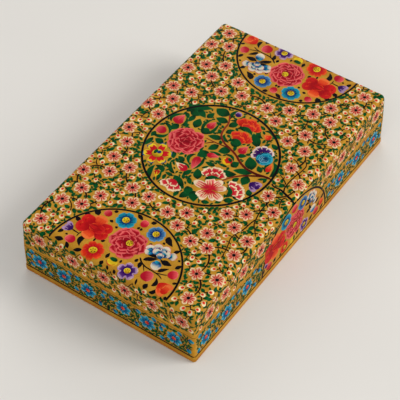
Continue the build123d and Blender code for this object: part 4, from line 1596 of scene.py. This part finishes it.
def paint_medallion(canvas):
    """The half medallion, drawn from the middle of its foot."""
    for width, *ends in medallion_leaves:
        leaf(canvas, width, *ends, paint_name="ink")
    lobed_cluster(canvas.spot(-18.4, 13.6, 90, 1.05))
    rose(canvas.spot(-0.5, 14.0, 40, 8.7), 10, has_eye=True)
    open_flower(canvas.spot(-9.2, 23.0, 0, 5.0), "sky_blue", 6, 0.35, "deep_blue")
    open_flower(canvas.spot(6.3, 23.2, 0, 4.5), "mid_blue", 6, 0.35, "deep_blue")
    round_bud(canvas, -1.3, 25.9, 2.7)
    open_flower(canvas.spot(-9.8, 4.6, 0, 3.7), "poppy", 6, 0.36, "crimson")
    round_bud(canvas, -1.9, 3.2, 2.2, "yellow", 180)
    stroke(canvas, "petals", "dark_leaf", [(-0.6, 1.6), (-0.6, 4.8)], 1.6, round_shape, 6)
    pansy(canvas.spot(8.8, 4.6, 0, 4.3))
    round_bud(canvas, -23.5, 3.6, 2.6)
    round_bud(canvas, -26.6, 6.6, 1.6, "purple")
    blue_peony(canvas.spot(13.4, 17.4, 20, 0.85))
    round_bud(canvas, 17.4, 9.0, 2.7, "white_blue", 90)
    round_bud(canvas, 20.6, 4.2, 2.6)
    round_bud(canvas, 25.4, 6.8, 2.4, "orange")
    circle_line(canvas, medallion[2], 1.1, 0, 180, parts=2)


leaf_count = 0
for side in SIDE_AXES:
    design = side_designs["long" if side in ("front", "back") else "short"]
    leaf_count += paint_side(side, design)
    if side in ("front", "back"):
        paint_medallion(Canvas(side).spot(medallion[0], medallion[1]))
print("leaves on the sides:", leaf_count)

# %% [markdown]
# ## Border lines
# A gold line runs round the lid just above the seam and a black one round the base just above the foot
# band. The foot band itself is bare gold with one fine red line. They are pulled with a ruling brush,
# side by side, and meet at the corners.

# %% Border lines
border_lines = [        # coat, paint, height and width
    ("gold_lines", "gold", seam + 0.85, 0.9), ("ink_lines", "ink", foot_top + 0.55, 0.8),
    ("ink_lines", "vermilion", foot_top * 0.50, 0.12)]
border_lap = 0.4        # how far the lines of two sides run into each other

for side in SIDE_AXES:
    canvas = Canvas(side)
    corner = corner_run(side)
    run = np.linspace(-corner - border_lap, corner + border_lap, 5)
    for coat_name, paint_name, z, width in border_lines:
        stroke(canvas, coat_name, paint_name, np.stack([run, np.full(5, z)], 1), width, line_shape, 1, rows=9)
    stroke(canvas, "gold_lines", "gold", [(corner, vine_low), (corner, vine_high)], 1.3, line_shape, 0)
print("all strokes:", {coat.name: coat.count for coat in coats.values()})

# %% [markdown]
# ## From strokes to pieces
# Each coat is written as one mesh for the closed box and then cut at the seam, just as the real lid
# is cut free after painting. The cut is closed again, so every piece stays a set of closed bodies.
# Every piece gets a flat map laid out like an unfolded box, which keeps its colours sharp if the
# part is exported with its paints turned into pictures.

# %% Writing the pieces
row_pitch = 22.0        # from one side of the base to the next on the flat map
map_margin = 0.01       # left free round the flat map


def coat_mesh(coat):
    """The whole coat as one mesh, before the cut."""
    corners = np.concatenate(coat.corners)
    sizes = np.concatenate(coat.sizes)
    places = np.concatenate(coat.places) * mm
    mesh = bpy.data.meshes.new(coat.name)
    mesh.vertices.add(len(places))
    mesh.vertices.foreach_set("co", places.astype(np.float32).ravel())
    mesh.loops.add(len(corners))
    mesh.loops.foreach_set("vertex_index", corners.astype(np.int32))
    mesh.polygons.add(len(sizes))
    mesh.polygons.foreach_set("loop_start", np.concatenate([[0], np.cumsum(sizes)[:-1]]).astype(np.int32))
    mesh.polygons.foreach_set("material_index", np.concatenate(coat.paint_numbers).astype(np.int32))
    for name, rows in (("stroke", coat.strokes), ("facing", coat.facings), ("flat", coat.flats)):
        layer = mesh.attributes.new(name, "FLOAT_VECTOR", "POINT")
        layer.data.foreach_set("vector", np.concatenate(rows).astype(np.float32).ravel())
    for name in coat.paint_names:
        mesh.materials.append(paints[name])
    mesh.update(calc_edges=True)
    return mesh


def cut_at_seam(mesh, name, keep_above):
    """A copy of the mesh, cut level at the bevel of the seam and closed there."""
    bm = bmesh.new()
    bm.from_mesh(mesh)
    level = (seam + seam_bevel if keep_above else seam - seam_bevel) * mm
    cut = bmesh.ops.bisect_plane(bm, geom=bm.verts[:] + bm.edges[:] + bm.faces[:], dist=1e-7,
                                 plane_co=(0, 0, level), plane_no=(0, 0, 1),
                                 clear_inner=keep_above, clear_outer=not keep_above)
    rim = [edge for edge in cut["geom_cut"] if isinstance(edge, bmesh.types.BMEdge) and edge.is_boundary]
    if rim:
        bmesh.ops.holes_fill(bm, edges=rim, sides=0)
    part = bpy.data.meshes.new(name)
    bm.to_mesh(part)
    bm.free()
    return part


def read_vectors(mesh, name):
    """A vector attribute of the mesh, one row for each point."""
    data = np.zeros(len(mesh.vertices) * 3, np.float32)
    mesh.attributes[name].data.foreach_get("vector", data)
    return data.reshape(-1, 3)


def unfolded(flat, on_lid):
    """Flat map places: a cross for the lid, four rows for the base."""
    u, v, sheet = flat[:, 0], flat[:, 1], np.rint(flat[:, 2]).astype(int)
    if not on_lid:
        return np.stack([u, v + row_pitch * sheet], 1)
    reach = edge_round * quarter - edge_round
    down = height + reach - v
    cross = {1: (u, -half_width - down), 2: (half_length + down, u), 3: (-u, half_width + down),
             4: (-half_length - down, -u)}
    out = np.stack([u, v], 1).astype(float)
    for number, (a, b) in cross.items():
        chosen = sheet == number
        out[chosen, 0] = a[chosen]
        out[chosen, 1] = b[chosen]
    return out


def finish_piece(mesh, body):
    """Smooth facing on the painted tops, and the unfolded map for its body."""
    facing = read_vectors(mesh, "facing")
    flat = read_vectors(mesh, "flat")
    loops = np.zeros(len(mesh.loops), np.int32)
    mesh.loops.foreach_get("vertex_index", loops)
    normals = np.zeros(len(mesh.polygons) * 3, np.float32)
    mesh.polygons.foreach_get("normal", normals)
    totals = np.zeros(len(mesh.polygons), np.int32)
    mesh.polygons.foreach_get("loop_total", totals)
    face_normals = np.repeat(normals.reshape(-1, 3), totals, axis=0)
    smooth = facing[loops]
    is_top = (face_normals * smooth).sum(1) > 0.8      # the rest are walls, undersides and cut faces
    chosen = np.where(is_top[:, None], smooth, face_normals)
    mesh.shade_smooth()
    mesh.normals_split_custom_set(chosen.tolist())
    places = unfolded(flat, body == "lid")
    low, high = places.min(0), places.max(0)
    places = map_margin + (1 - 2 * map_margin) * (places - low) / (high - low)
    uv = mesh.uv_layers.new(name="OFBake")
    uv.data.foreach_set("uv", places[loops].astype(np.float32).ravel())
    for name in ("facing", "flat"):
        mesh.attributes.remove(mesh.attributes[name])


for coat in coats.values():
    whole = coat_mesh(coat)
    for body in ("lid", "base"):
        part = cut_at_seam(whole, f"{body}_{coat.name}", body == "lid")
        if not len(part.polygons):
            bpy.data.meshes.remove(part)
            continue
        finish_piece(part, body)
        for name in coat.paint_names:
            part.materials.append(paints[name])
        piece = bpy.data.objects.new(part.name, part)
        bpy.context.scene.collection.objects.link(piece)
        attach(piece, body)
        print(f"{piece.name}: {coat.count} strokes laid, {len(part.polygons)} faces")
    bpy.data.meshes.remove(whole)

# %% [markdown]
# ## Size
# The paint stands less than a third of a millimetre above the boards, so the dressed box is the size
# of the imported one. Both boxes are kept side by side, and the end prints how much the paint adds.

# %% Size and the end
visual_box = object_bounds()
sizes = {"cad": [list(v) for v in cad_box], "visual": [list(v) for v in visual_box]}
print("the paint adds", [round((v - c) / mm, 3) for v, c in zip(visual_box[1], cad_box[1])], "mm")
